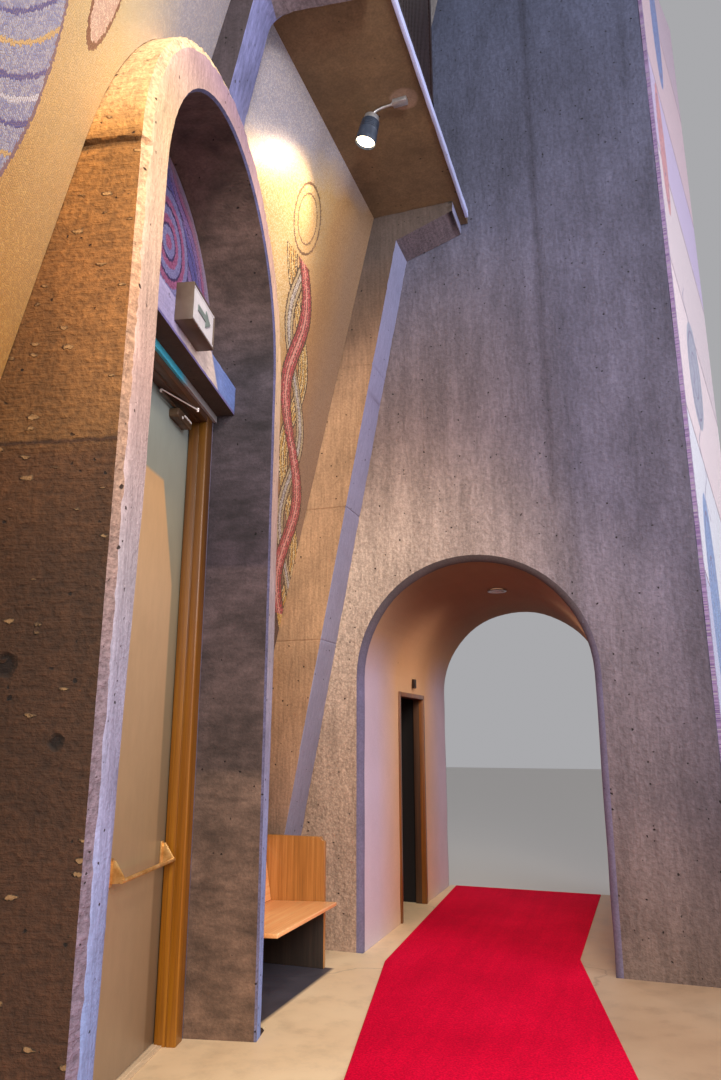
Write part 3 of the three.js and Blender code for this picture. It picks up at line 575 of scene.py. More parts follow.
def tesserae(start, run, rise):
    """The colour chance, the middle along two directions, and the joint of each small piece."""
    shifted = add("VectorMath SUBTRACT", place, start)
    along = add("VectorMath DOT_PRODUCT", shifted, run)
    up = add("VectorMath DOT_PRODUCT", shifted, rise)
    flat = add("CombineXYZ", along, up)
    glass = {"Scale": 1 / TESSERA, "Randomness": 0.75, "voronoi_dimensions": "2D"}
    cells = add("TexVoronoi", flat, **glass).node.outputs
    joints = add("TexVoronoi", flat, feature="DISTANCE_TO_EDGE", **glass)
    middle = add("SeparateXYZ", cells["Position"]).node.outputs
    chance = add("SeparateColor", cells["Color"])
    return chance, middle[0], middle[1], joints


def inside(value, low, high):
    """One where a value lies between two bounds, else nought."""
    above = add("Math GREATER_THAN", value, low)
    below = add("Math LESS_THAN", value, high)
    return add("Math MULTIPLY", above, below)


def oval(s, t, centre, half):
    """The distance from an oval's middle, 1 on its rim."""
    across = add("Math DIVIDE", add("Math SUBTRACT", s, centre[0]), half[0])
    up = add("Math DIVIDE", add("Math SUBTRACT", t, centre[1]), half[1])
    flat = add("CombineXYZ", across, up)
    return add("VectorMath LENGTH", flat)


def pieces_of(chance, colours):
    """One of some colours for each piece of glass, by chance."""
    colours = colours.split()
    stops = [(i / len(colours), colour) for i, colour in enumerate(colours)]
    ramp = add("ValToRGB", chance, stops=stops)
    ramp.node.color_ramp.interpolation = "CONSTANT"
    return ramp


def ribbon(base, across, within, chance, bands, line="#3c2a26"):
    """Lays a ribbon of coloured bands, each to a distance from its middle, with dark lines."""
    away = add("Math ABSOLUTE", across)
    start = 0.0
    for reach, colours in bands:
        here = add("Math MULTIPLY", inside(away, start, reach), within)
        base = add("Mix", here, base, pieces_of(chance, colours))
        drawn = add("Math MULTIPLY", inside(away, reach - 0.009, reach + 0.009), within)
        base = add("Mix", drawn, base, line)
        start = reach
    return base


def set_in_mortar(base, joints, mortar, metal=0.0):
    """Joins pieces with mortar: a darker hollow line between, and a wet gloss on the glass."""
    line = add("ValToRGB", joints, stops=[(0.02, 0.0), (0.09, 1.0)])
    base = add("Mix", line, mortar, base)
    lay(base)
    height = add("MapRange", joints, 0.0, 0.16)
    relief(height, 0.0025, 0.8)
    shader.inputs["Metallic"].default_value = metal


GOLD = "#ca9c60 #d0a366 #c4965a #d6aa6e #be9056 #cda062 #c69862 #dab278"
ROSE = "#c04050 #cc5460 #d87078 #b03850 #e09a94"
OCHRE = "#d9b060 #c89a48 #e6c888 #b9853a"
CREAM = "#ecd8a8 #e0c48c #f2e2ba #d8b878"
GREY = "#a8a4a4 #c0bcba #908c90 #d4d0cc"
DARK = "#3a2b33 #4a3740 #2c2228 #54414a"
SILVER = "#aeaec4 #a4a8c0 #babac8 #9aa0ba #c4c2cc #a8a8bc"


def wall_frame(far):
    """Where a panel's pattern starts, and its directions along the wall and up."""
    run = Vector((0, 1, 0))
    if not far:
        run = run - 2 * run.dot(ACROSS) * ACROSS
    return ORIGIN + Vector((-2.2, 3.3, 0)), run, Vector((0, 0, 1))


# Glass over gold leaf, set by hand: each piece a little apart in tone, with a wet gloss.
gold_far = new_finish("gold_glass_mosaic_far", 0.38)
chance, s, t, joints = tesserae(*wall_frame(True))
base = pieces_of(chance, GOLD)
shade = blotches(0.35, 4)
base = vary(base, shade, 0.1)
# Painted shade: the far panel darkens towards the floor.
painted_shade_by_height = height_tone([(0, "#b0a0a0"), (2.6, "#a89890"), (3.6, "#d0bcb4"), (5.0, "#e2d6d2"), (6.2, "#f2f0f4")])
base = add("Mix MULTIPLY", 1.0, base, painted_shade_by_height)
# Painted pool of lamplight: cream pieces where the lamp's beam falls on the gold.
lit = add("MapRange", add("Math MULTIPLY_ADD", shade, 0.4, s), 1.45, 2.1, 0.8, 0.0)
lit = add("Math MULTIPLY", lit, add("MapRange", t, 3.6, 4.7))
base = add("Mix", lit, base, pieces_of(chance, CREAM))
# Painted shade in the corner by the pier: darker grey-brown pieces.
painted_corner_shade = add("MapRange", add("Math MULTIPLY_ADD", shade, 0.4, s), 2.0, 2.5, 0.0, 0.7)
base = add("Mix", painted_corner_shade, base, pieces_of(chance, "#80706a #8e7c72 #746460 #88766c"))
pale = add("Math MULTIPLY_ADD", shade, 0.5, add("Math MULTIPLY_ADD", s, -0.55, t))
silvered = add("MapRange", pale, 5.1, 5.45)
base = add("Mix", silvered, base, pieces_of(chance, SILVER))
within = inside(t, 2.05, 5.15)
middle = add("Math MULTIPLY_ADD", t, -0.42, 3.62)
for phase, bands in ((0.0, ((0.02, CREAM), (0.06, OCHRE), (0.085, CREAM))),
        (2.1, ((0.03, GREY), (0.07, "#b8a888 #c8b898 #a89878"))),
        (4.2, ((0.025, "#e8a49c #dd8a86"), (0.06, ROSE), (0.09, "#a83048 #8c2840 #c0485a")))):
    swing = add("Math SINE", add("Math MULTIPLY_ADD", t, 4.6, phase))
    centre = add("Math MULTIPLY_ADD", swing, 0.15, middle)
    base = ribbon(base, add("Math SUBTRACT", s, centre), within, chance, bands)
for low, colours in ((0.0, DARK), (0.5, OCHRE)):
    slope = add("Math ABSOLUTE", add("Math SUBTRACT", add("Math FRACT", add("Math MULTIPLY", s, 1.9)), 0.5))
    wave = add("Math FRACT", add("Math ADD", add("Math MULTIPLY", t, 1.7), slope))
    here = add("Math MULTIPLY", inside(wave, low, low + 0.5), inside(t, 0.5, 2.6))
    base = add("Mix", here, base, pieces_of(chance, colours))
for radius in (0.15, 0.21):
    ring = oval(s, t, (1.42, 5.45), (radius, radius * 1.25))
    base = add("Mix", inside(ring, 0.96, 1.04), base, "#6a4c3a")
set_in_mortar(base, joints, "#9c7c5c", 0.1)
give("far_mosaic", gold_far)

# The same glass, warmer low down and silvery at the top.
gold_near = new_finish("gold_glass_mosaic_near", 0.38)
chance, s, t, joints = tesserae(*wall_frame(False))
base = pieces_of(chance, GOLD)
base = vary(base, blotches(0.4, 4), 0.1)
base = add("Mix MULTIPLY", 1.0, base, "#fff2cc")
paler = add("MapRange", add("Math MULTIPLY_ADD", s, -0.35, t), 2.6, 4.3, 0.0, 0.9)
base = add("Mix", paler, base, pieces_of(chance, "#ecdcb0 #e6d4a4 #f0e2ba #eadaac"))
upper = add("MapRange", add("Math MULTIPLY_ADD", s, -0.9, t), 3.3, 4.5)
base = add("Mix", upper, base, pieces_of(chance, SILVER))
FAN = (2.75, 3.75)
FAN_REACH = 1.17
fan = oval(s, t, FAN, (FAN_REACH, FAN_REACH))
here = inside(fan, 0.15, 1.0)
base = add("Mix", here, base, pieces_of(chance, "#a4aac8 #949cc4 #b0b4cc #8c94c0 #b8bacc"))
angle = add("Math ARCTAN2", add("Math SUBTRACT", t, FAN[1]), add("Math SUBTRACT", s, FAN[0]))
turned = add("Math FRACT", add("Math MULTIPLY_ADD", angle, 2.228, add("Math MULTIPLY", fan, 2.6)))
for low, colour in ((0.0, "#dcb880"), (0.3, "#5c60a0"), (0.5, "#d8d8e4"), (0.72, "#5c60a0")):
    rib = add("Math MULTIPLY", inside(turned, low, low + 0.05), here)
    base = add("Mix", rib, base, colour)
for rim in (0.15, 0.6, 1.0):
    drawn = inside(fan, rim - 0.008, rim + 0.008)
    base = add("Mix", drawn, base, "#8a7080")
leaf = oval(s, t, (1.42, 4.5), (0.1, 0.3))
base = add("Mix", inside(leaf, -1.0, 1.0), base, pieces_of(chance, "#e8c4b0 #dcb4a4 #f0d4c0"))
base = add("Mix", inside(leaf, 0.93, 1.07), base, "#8a5c48")
set_in_mortar(base, joints, "#b08c64", 0.1)
give("near_mosaic", gold_near)

PALE_FIELDS = [(0.0, "#d8ccd8"), (0.14, "#ccd0f0"), (0.3, "#f0f2ff"), (0.44, "#fae8ee"), (0.58, "#e8d8e0"),
    (0.7, "#d0c0e8"), (0.8, "#e0c4d0"), (0.93, "#ccb4c8")]
for name, node, run in (("pale_glass_mosaic_near", "pier_mosaic_near", (0.283, 0.959, 0)),
                        ("pale_glass_mosaic_far", "pier_mosaic_far", (0.283, -0.959, 0))):
    # Milky glass: pale fields from lilac to rose, with a wet gloss.
    material = new_finish(name, 0.4)
    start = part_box(node)[0]
    chance, s, t, joints = tesserae(start, run, (0, 0, 1))
    slant = add("Math MULTIPLY", add("Math MULTIPLY_ADD", s, 0.9, t), 0.105)
    fields = add("ValToRGB", slant, stops=PALE_FIELDS)
    fields.node.color_ramp.interpolation = "CONSTANT"
    base = vary(fields, chance, 0.06, 0.5)
    for edge, colour in PALE_FIELDS[1:]:
        drawn = inside(slant, edge - 0.0014, edge + 0.0014)
        base = add("Mix", drawn, base, "#7c4a74")
    for centre, half, colours in (((0.5, 8.3), (0.13, 0.75), "#5c7cc4 #7894d4 #4a68b0"),
            ((0.22, 6.7), (0.1, 0.7), "#d88c94 #e4a4a4 #c87884"),
            ((0.5, 4.6), (0.2, 0.5), "#a8b0c8 #b8bccc #989cb8"),
            ((0.3, 2.6), (0.15, 0.9), "#7fa0d8 #96b4e4 #6c8cc8"),
            ((0.6, 1.0), (0.14, 0.6), "#d8b080 #c89c6c #e4c49c")):
        lens = oval(s, t, centre, half)
        base = add("Mix", inside(lens, -1.0, 1.0), base, pieces_of(chance, colours))
        veins = add("Math FRACT", add("Math MULTIPLY", lens, 2.5))
        drawn = add("Math MULTIPLY", inside(veins, 0.0, 0.09), inside(lens, 0.3, 1.1))
        base = add("Mix", drawn, base, "#6c5a8c")
    curl = add("Math SINE", add("Math MULTIPLY", t, 14.0))
    curled = add("Math SUBTRACT", s, add("Math MULTIPLY_ADD", curl, 0.06, 0.42))
    drawn = add("Math MULTIPLY", inside(curled, -0.007, 0.007), inside(t, 3.3, 5.4))
    base = add("Mix", drawn, base, "#7c6a9c")
    border = inside(s, -1.0, 0.035)
    base = add("Mix", border, base, pieces_of(chance, "#8a6ca4 #745890 #a088b8"))
    set_in_mortar(base, joints, "#a49cae")
    give(node, material)

# Ribs
# One stands in each corner of wall and pier and one over the doorway. They are cast
# against narrow boards, and each turns out into a corbel under the gallery. The sides
# are golden with painted lamp light and dark with painted shade up high, while the
# planed fronts are a painted cool grey.

RIB_LIFTS = (2.38, 3.485, 4.75)
# Concrete from narrow sawn boards: upright grain, golden at middle height with painted lamp light and dark
# at the top with painted shade.
rib_side = cast_finish("rib_side_board_marked", [(0, "#806a62"), (1.8, "#9c785a"), (2.8, "#ac8866"),
    (4.2, "#ac8868"), (5.0, "#705848"), (5.8, "#4c4240")], (0.012, 0.012, 0.14), 0.003, 0.010, 0.004, 0.35,
    cloud=0.3, uneven=0.2, marked=0.16, speckled=0.14)
# Concrete from planed boards: an even grey, painted cool by the light off the nave.
rib_front = cast_finish("rib_front_planed", [(0, "#787484"), (2.5, "#8c889c"), (4.5, "#8480a0"),
    (6, "#8488ac")], (0.01, 0.01, 0.09), 0.0015, 0.008, 0.002, 0.25, uneven=0.08, marked=0.1, speckled=0.06)
# The same with more streaks and grain, painted bluer by the cool light.
mid_front = cast_finish("rib_front_streaked_blue", [(0, "#6c70a0"), (9, "#6c70a0")], (0.016, 0.016, 0.12),
    0.003, 0.008, 0.003, 0.25, cloud=0.15, uneven=0.18, marked=0.26, speckled=0.08)
# Sawn boards in shade: almost black-brown.
mid_side = cast_finish("rib_side_in_shade", [(0, "#3c343c"), (9, "#3c343c")], (0.012, 0.012, 0.14), 0.003,
    0.010, 0.004, 0.35, cloud=0.3, uneven=0.25, marked=0.2, speckled=0.16)
# The corbels' undersides: mottled brown-grey.
rib_under = cast_finish("corbel_underside", [(0, "#6c5c62"), (6, "#665c66")], (0.012, 0.12, 0.012), 0.002,
    0.010, 0.004, 0.3)


def worn_rib(name, normal_out):
    """A rib with softened arrises, lift joints and shallow hollows."""
    bm = copy_of((name,))
    corner = [e for e in bm.edges if len(e.link_faces) == 2 and e.calc_face_angle() > 0.5
        and any(f.normal.dot(normal_out) > 0.5 for f in e.link_faces)]
    round_over(bm, corner, 0.012)
    for lift in RIB_LIFTS:
        cut(bm, (0, 0, 1), [FLOOR + lift + step for step in (-0.012, -0.004, 0.004)])
    low, high = (min(v.co.z for v in bm.verts), max(v.co.z for v in bm.verts))
    cut(bm, (0, 0, 1), steps(low, high, 0.05))
    cut(bm, normal_out, steps(-4, 4, 0.06))
    bm.normal_update()
    for face in bm.faces:
        if face.normal.z < (-0.7 if name == "mid_rib" else -0.35):
            face.material_index = 2
        elif face.normal.dot(normal_out) > 0.5:
            face.material_index = 1
    for v in bm.verts:
        for lift in RIB_LIFTS:
            if abs(v.co.z - FLOOR - lift + 0.004) < 0.002:
                v.co -= v.normal * 0.006
    wear(bm, 0.06, 0.004)
    wear(bm, 0.4, 0.004, 5.0)
    coats = [mid_side, mid_front, rib_under] if name == "mid_rib" else [rib_side, rib_front, rib_under]
    return make(name + "_worn", bm, coats, (name,))


mirror_x = Vector((1, 0, 0)) - 2 * ACROSS.x * ACROSS
worn_rib("far_rib", Vector((1, 0, 0)))
worn_rib("near_rib", mirror_x)
worn_rib("mid_rib", ALONG)

# Gallery
# A cast slab on the corbels with a thin upstand along its edge. On the upstand stands a
# screen of bronze-painted flat bars woven into a fine lattice, which lets specks of light
# through. The slab's underside is mottled brown from its plywood forms.


def soffit_tone():
    """Brown, with a pale round of plaster where the lamp's box was fixed."""
    wander = blotches(0.03, 4, 0.6)
    off = add("VectorMath DISTANCE", place, ORIGIN + Vector((-1.28, 4.6, 6.19)))
    off = add("Math MULTIPLY_ADD", wander, 0.04, off)
    patch = add("MapRange", off, 0.11, 0.13, 0.75, 0.0)
    return add("Mix", patch, "#685440", "#8c7468")


# Concrete from oiled plywood: broad brown clouds.
soffit_coat = cast_finish("plywood_formed_soffit", soffit_tone, (0.03, 0.03, 0.03), 0.001, 0.008, 0.002,
    0.2, cloud=0.45, uneven=0.3, marked=0.1, speckled=0.12)
# Fine concrete rubbed smooth: pale grey, painted blue by the cool light off the nave, with faint streaks
# along it.
fascia_coat = cast_finish("planed_fascia_concrete", [(0, "#acb4e4"), (9, "#acb4e4")], (0.01, 0.1, 0.01),
    0.001, 0.006, 0.002, 0.25, uneven=0.1, marked=0.12, speckled=0.06)
for name in ("far_gallery_slab", "near_gallery_slab"):
    give(name, soffit_coat)
for name in ("far_gallery_edge", "near_gallery_edge"):
    bm = copy_of((name,))
    round_over(bm, bm.edges[:], 0.008)
    far_side = name.startswith("far")
    along_edge = Vector((0, 1, 0)) if far_side else Vector((0, 1, 0)) - 2 * ACROSS.y * ACROSS
    cut(bm, along_edge, steps(-6, 6, 0.07))
    wear(bm, 0.09, 0.003)
    make(name + "_worn", bm, [fascia_coat], (name,))


def patchy_finish(name, roughness, metallic, patches, tones, grit, depth):
    """Metal or plastic with patches a little apart in tone, over a fine grit in relief."""
    material = new_finish(name, roughness, metallic)
    lay(add("ValToRGB", blotches(*patches), stops=tones))
    relief(blotches(*grit), depth)
    return material


# Steel in bronze paint: a dull metal glint, lighter where it is rubbed.
bronze = patchy_finish("bronze_painted_flat_steel", 0.45, 0.4, (0.04, 5, 0.7),
    [(0.3, "#1c1214"), (0.55, "#2c1e20"), (0.7, "#3c2c2c")], (0.006, 3), 0.0008)
BAR = 0.022
BAR_THICK = 0.004
PITCH = 0.040
SCREEN_RIM = 0.04
mirror_bay = DOORWAY @ Matrix.Diagonal((1, -1, 1, 1)) @ DOORWAY.inverted()


def bar(bm, low, high):
    """A straight bar between two opposite corners."""
    low, high = Vector(low), Vector(high)
    size = [abs(part) for part in high - low]
    middle = Matrix.Translation((low + high) / 2)
    bmesh.ops.create_cube(bm, size=1.0, matrix=middle @ Matrix.Diagonal((*size, 1)))


screen_low, screen_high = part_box("far_gallery_screen")
screen_x = (screen_low.x + screen_high.x) / 2
for side, node in ((1, "far_gallery_screen"), (-1, "near_gallery_screen")):
    bm = bmesh.new()
    for at in (screen_low.y, screen_high.y - SCREEN_RIM):
        bar(bm, (screen_low.x, at, screen_low.z), (screen_high.x, at + SCREEN_RIM, screen_high.z))
    for at in (screen_low.z, screen_high.z - SCREEN_RIM):
        bar(bm, (screen_low.x, screen_low.y, at), (screen_high.x, screen_high.y, at + SCREEN_RIM))
    for at in steps(screen_low.y + SCREEN_RIM, screen_high.y - SCREEN_RIM, PITCH):
        bar(bm, (screen_x, at - BAR / 2, screen_low.z), (screen_x + BAR_THICK, at + BAR / 2, screen_high.z))
    for at in steps(screen_low.z + SCREEN_RIM, screen_high.z - SCREEN_RIM, PITCH):
        bar(bm, (screen_x - BAR_THICK, screen_low.y, at - BAR / 2), (screen_x, screen_high.y, at + BAR / 2))
    if side < 0:
        bmesh.ops.transform(bm, matrix=mirror_bay, verts=bm.verts)
        bmesh.ops.reverse_faces(bm, faces=bm.faces)
    make(node + "_lattice", bm, [bronze], (node,))

# Spotlight under the gallery
# A reflector lamp: a steel box screwed to the slab, a bent tube, a plated collar and a
# turned aluminium head with cooling rings, painted dark, whose glass glows.

# Zinc on steel: a soft grey shine, slightly spangled.
satin_steel = patchy_finish("satin_zinc_plated_steel", 0.38, 0.75, (0.03, 5, 0.7),
    [(0.3, "#8d8f96"), (0.55, "#b0b3bc"), (0.7, "#c9ccd4")], (0.004, 3), 0.0003)
# Stoved enamel: blue-black and smooth, with a soft highlight on each ring.
dark_enamel = patchy_finish("dark_stoved_enamel", 0.4, 0.0, (0.03, 5, 0.7),
    [(0.3, "#242c3c"), (0.55, "#303a4c"), (0.7, "#404a5c")], (0.003, 3), 0.0003)
# Ribbed glass before the lamp: it glows warm in small cells.
lamp_glass = new_finish("lit_lamp_glass", 0.2)
shader.inputs["Base Color"].default_value = linear("#fff2d8")
rings = add("TexVoronoi", place, Scale=1 / 0.006)
glow = add("ValToRGB", rings, stops=[(0.1, "#fff4dc"), (0.8, "#ffe0a8")])
lay(glow, "Emission Color")
shader.inputs["Emission Strength"].default_value = 9.0


def soften(bm, width, segments=2, sharper=0.5):
    """Rounds every edge that turns more than an angle."""
    edges = [e for e in bm.edges if len(e.link_faces) == 2 and e.calc_face_angle() > sharper]
    round_over(bm, edges, width, segments)


def tube(bm, path, radius, sides=16):
    """A round rod along a path, closed at both ends: a ring swept from point to point."""
    rings_made = []
    for i, point in enumerate(path):
        direction = (path[min(i + 1, len(path) - 1)] - path[max(i - 1, 0)]).normalized()
        turn = direction.to_track_quat("Z", "Y").to_matrix().to_4x4()
        ring = bmesh.ops.create_circle(bm, segments=sides, radius=radius,
            matrix=Matrix.Translation(point) @ turn)["verts"]
        if rings_made:
            edges = [e for e in bm.edges if all(v in rings_made[-1] or v in ring for v in e.verts)]
            bmesh.ops.bridge_loops(bm, edges=[e for e in edges if len(e.link_faces) < 2])
        rings_made.append(ring)
    for ring in (rings_made[0], rings_made[-1]):
        bmesh.ops.contextual_create(bm, geom=ring)
    bmesh.ops.recalc_face_normals(bm, faces=bm.faces)


def turned_shape(bm, profile, matrix, sides=40):
    """A turned piece from (radius, height) points, closed on its axis."""
    verts = [bm.verts.new((r, 0, h)) for r, h in profile]
    edges = [bm.edges.new(pair) for pair in zip(verts, verts[1:])]
    made = bmesh.ops.spin(bm, geom=verts + edges, axis=(0, 0, 1), cent=(0, 0, 0), angle=math.tau,
        steps=sides, use_merge=True)
    found = set(verts)
    for item in made["geom_last"]:
        if isinstance(item, bmesh.types.BMVert):
            found.add(item)
    seen, todo = set(), list(found)
    while todo:
        v = todo.pop()
        if v in seen:
            continue
        seen.add(v)
        todo.extend(e.other_vert(v) for e in v.link_edges)
    bmesh.ops.remove_doubles(bm, verts=list(seen), dist=0.00002)
    seen = [v for v in seen if v.is_valid]
    bmesh.ops.transform(bm, matrix=matrix, verts=seen)
    bmesh.ops.recalc_face_normals(bm, faces=list({f for v in seen for f in v.link_faces}))


plate_top = ORIGIN + Vector((-1.31, 4.6, 6.1897))
head_place = plate_top + Vector((-0.2151, 0, -0.0666))
HEAD_TILT = math.radians(14)
tilt = Matrix.Translation(head_place) @ Matrix.Rotation(HEAD_TILT, 4, "Y")

bm = bmesh.new()
bar(bm, plate_top + Vector((-0.055, -0.03, -0.034)), plate_top + Vector((0.055, 0.03, 0)))
soften(bm, 0.004)
stem = [Vector((-0.03, 0, -0.020)), Vector((-0.086, 0, -0.0212)), Vector((-0.135, 0, -0.0245)),
    Vector((-0.165, 0, -0.0305)), Vector((-0.189, 0, -0.040)), Vector((-0.2035, 0, -0.050)),
    Vector((-0.2145, 0, -0.0655))]
tube(bm, [plate_top + point for point in stem], 0.009)
turned_shape(bm, [(0, 0), (0.014, 0), (0.014, 0.016), (0, 0.016)],
    Matrix.Translation(plate_top + Vector((-0.05, 0, -0.0195)))
    @ Matrix.Rotation(math.radians(-90), 4, "Y"), 20)
make("spotlight_bracket_fine", bm, [satin_steel], ("spotlight_bracket",))

bm = bmesh.new()
head_profile = [(0.0, -0.0005), (0.030, -0.0005), (0.046, -0.009), (0.0535, -0.016), (0.0575, -0.032),
    (0.0595, -0.046), (0.0595, -0.052), (0.0555, -0.054), (0.0555, -0.057), (0.0665, -0.060)]
for k in range(5):
    top = -0.068 - 0.014 * k
    wide = 0.0675 + 0.0009 * k
    head_profile += [(wide, top), (wide - 0.004, top - 0.002), (wide - 0.004, top - 0.007),
        (wide + 0.0005, top - 0.009)]
head_profile += [(0.0715, -0.150), (0.0765, -0.205), (0.0795, -0.232), (0.079, -0.2365), (0.0745, -0.2375),
    (0.0665, -0.223), (0.0, -0.2185)]
turned_shape(bm, head_profile, tilt, 48)
for face in bm.faces:
    local = tilt.inverted() @ face.calc_center_median()
    if local.z < -0.217 and math.hypot(local.x, local.y) < 0.0665:
        face.material_index = 1
    elif local.z > -0.0535:
        face.material_index = 2
make("spotlight_head_fine", bm, [dark_enamel, lamp_glass, satin_steel], ("spotlight_head",))

# Door frame
# Golden varnished timber, with painted shade that darkens the jambs upwards: each jamb
# shows strips with a groove between and a joint of mastic against the concrete, and the
# head is stained dark. An aluminium trim runs under the cast beam, painted bright blue as
# a reflection and grey at its far end. The sill is a pale stone strip with a worn nosing.

JAMB_FRONT, JAMB_REBATE, JAMB_BACK = -1.59, -1.711, -1.8
BEAM_LOW = 3.69
HAIR = 0.0003


def wood_finish(name, tones, board, grain_axis, roughness, ring=0.006, painted_shade=()):
    """Varnished timber: long grain drawn out along an axis, with fine dark pores. A list of
    tones by height can lie over it as painted shade."""
    material = new_finish(name, roughness)
    long_way = [12.0 if axis == grain_axis else 1.0 for axis in "xyz"]
    wander = blotches(board, 3, 0.5, long_way)
    grain = blotches(ring, 5, 0.6, [way * 6 if way > 1 else 1 for way in long_way])
    mixed = add("Math MULTIPLY_ADD", grain, 0.55, add("Math MULTIPLY", wander, 0.45))
    base = add("ValToRGB", mixed, stops=[(0.36, tones[0]), (0.5, tones[1]), (0.62, tones[2])])
    pores = blotches(ring / 3, 2, 0.5, [way * 4 if way > 1 else 1 for way in long_way])
    dark = add("ValToRGB", pores, stops=[(0.3, 0.72), (0.42, 1.0)])
    base = add("Mix MULTIPLY", 0.7, base, dark)
    if painted_shade:
        base = add("Mix MULTIPLY", 1.0, base, height_tone(painted_shade))
    lay(base)
    shader.inputs["Coat Weight"].default_value = 0.15
    shader.inputs["Coat Roughness"].default_value = 0.15
    relief(pores, 0.0004)
    return material


# Oak in clear varnish: golden, with long grain and dark pores, and painted shade that darkens it towards
# the head.
jamb_wood = wood_finish("golden_varnished_oak_upright", ("#7c4e04", "#98620c", "#ac7614"), 0.06, "z", 0.45,
    painted_shade=[(0, "#f8ecb0"), (1.0, "#e8dc98"), (2.2, "#b4a468"), (3.0, "#988c54"), (3.7, "#847c54")])
# Mastic pressed in by hand: dull lilac-grey, a little wavy.
mastic = cast_finish("lilac_grey_mastic_joint", [(0, "#706880"), (3.7, "#706880")], (0.01, 0.01, 0.05),
    0.001, 0.006, 0.001, 0.1, marked=0.1, speckled=0.1)
# Oak stained dark, with its grain across the doorway.
head_wood = wood_finish("dark_stained_oak_across", ("#38200e", "#482a12", "#5a381a"), 0.06, "y", 0.42)


def drawn_out(bm, outline, way):
    """A flat outline drawn out along a vector."""
    face = bm.faces.new([bm.verts.new(corner) for corner in outline])
    out = bmesh.ops.extrude_face_region(bm, geom=[face])["geom"]
    bmesh.ops.translate(bm, vec=way, verts=[g for g in out if isinstance(g, bmesh.types.BMVert)])


for side, name in ((1, "far_jamb"), (-1, "near_jamb")):
    wall = side * 0.9757
    wide = side * 0.841
    thin = side * 0.881
    groove = -1.645
    plan = [(JAMB_BACK, thin), (JAMB_REBATE, thin), (JAMB_REBATE, wide), (groove - 0.004, wide),
        (groove - 0.004, wide + side * 0.009), (groove + 0.004, wide + side * 0.009),
        (groove + 0.004, wide), (-1.596, wide), (JAMB_FRONT, wide + side * 0.006),
        (JAMB_FRONT, wall - side * 0.03), (JAMB_FRONT - 0.006, wall - side * 0.024),
        (JAMB_FRONT - 0.006, wall), (JAMB_BACK, wall)]
    bm = bmesh.new()
    drawn_out(bm, [(x, y, HAIR) for x, y in plan], (0, 0, 3.6894))
    bmesh.ops.recalc_face_normals(bm, faces=bm.faces)
    soften(bm, 0.0022, 2)
    for face in bm.faces:
        at = face.calc_center_median()
        if face.normal.x > 0.5 and abs(at.y) > 0.951:
            face.material_index = 1
    bmesh.ops.transform(bm, matrix=DOORWAY, verts=bm.verts)
    make(name + "_timber", bm, [jamb_wood, mastic], (name,))

bm = copy_of(("door_head",))
bmesh.ops.transform(bm, matrix=DOORWAY.inverted(), verts=bm.verts)
cut(bm, (1, 0, 0), [-1.649, -1.641])
groove_faces = [f for f in bm.faces if f.normal.z < -0.9 and -1.649 < f.calc_center_median().x < -1.641]
bmesh.ops.inset_region(bm, faces=groove_faces, thickness=0.0005, depth=-0.002)
for face in groove_faces:
    face.material_index = 1
soften(bm, 0.003, 2, 1.2)
bmesh.ops.transform(bm, matrix=DOORWAY, verts=bm.verts)
make("door_head_timber", bm, [head_wood, jamb_wood], ("door_head",))


def beam_painted_light():
    """Painted light: a cream pool of lamplight up to a slanting edge, painted shadow in blue-grey beyond it
    at the far end, lavender at the near end, and a lavender band along the lower arris.
    """
    along = from_doorway(ACROSS)
    height = add("SeparateXYZ", place).node.outputs[2]
    slant = add("Math MULTIPLY_ADD", height, 0.85, along)
    far = add("MapRange", slant, 0.44 + 0.85 * 4.039, 0.47 + 0.85 * 4.039)
    near = add("MapRange", along, -0.15, 0.1)
    lit_and_shaded = add("Mix", near, "#9890b8", "#c8b8b4")
    lit_and_shaded = add("Mix", far, lit_and_shaded, "#6478b4")
    lower = FLOOR + BEAM_LOW
    arris = add("MapRange", height, lower + 0.014, lower + 0.02, 1.0, 0.0)
    return add("Mix", arris, lit_and_shaded, "#6c6498")


# Concrete, chalky, coloured with a painted pool of light and painted shadow, and lavender at the arris.
beam_coat = cast_finish("transom_concrete_painted_light", beam_painted_light, (0.05, 0.05, 0.01), 0.001, 0.007, 0.002,
    0.3, cloud=0.2, uneven=0.15, marked=0.12, speckled=0.1)
# The beam's underside: brown and matt, in painted shade.
beam_under = cast_finish("shaded_transom_underside", [(3.6, "#3c2e26"), (3.95, "#3c2e26")],
    (0.05, 0.05, 0.01), 0.001, 0.007, 0.002, 0.2, cloud=0.2, uneven=0.15, marked=0.12, speckled=0.1)
bm = copy_of(("transom_beam",))
soften(bm, 0.007, 2)
cut(bm, ACROSS, steps(-8, 8, 0.05))
cut(bm, (0, 0, 1), steps(FLOOR + BEAM_LOW, FLOOR + BEAM_LOW + 0.2, 0.04))
bm.normal_update()
for face in bm.faces:
    if face.normal.z < -0.8:
        face.material_index = 1
wear(bm, 0.06, 0.003)
make("transom_beam_worn", bm, [beam_coat, beam_under], ("transom_beam",))

# Aluminium, brushed along its length: a bright satin blue that is a painted reflection, grey at the far
# end.
trim_painted_reflection = new_finish("aluminium_trim_painted_reflection", 0.35, 0.2)
tints = blotches(0.4, 3)
along = from_doorway(ACROSS)
far = add("MapRange", along, 0.3, 0.42, 0.0, 1.0)
# Painted reflection: bright blue, turning grey at the far end.
blue = add("ValToRGB", tints, stops=[(0.35, "#3cc4f8"), (0.5, "#60dcff"), (0.65, "#a0f0ff")])
base = add("Mix", far, blue, "#a8a4a8")
lay(base)
relief(blotches(0.003, 3, 0.6, (1, 20, 1), (0, 0, -BAY_TURN)), 0.0002)
give("head_trim", trim_painted_reflection)
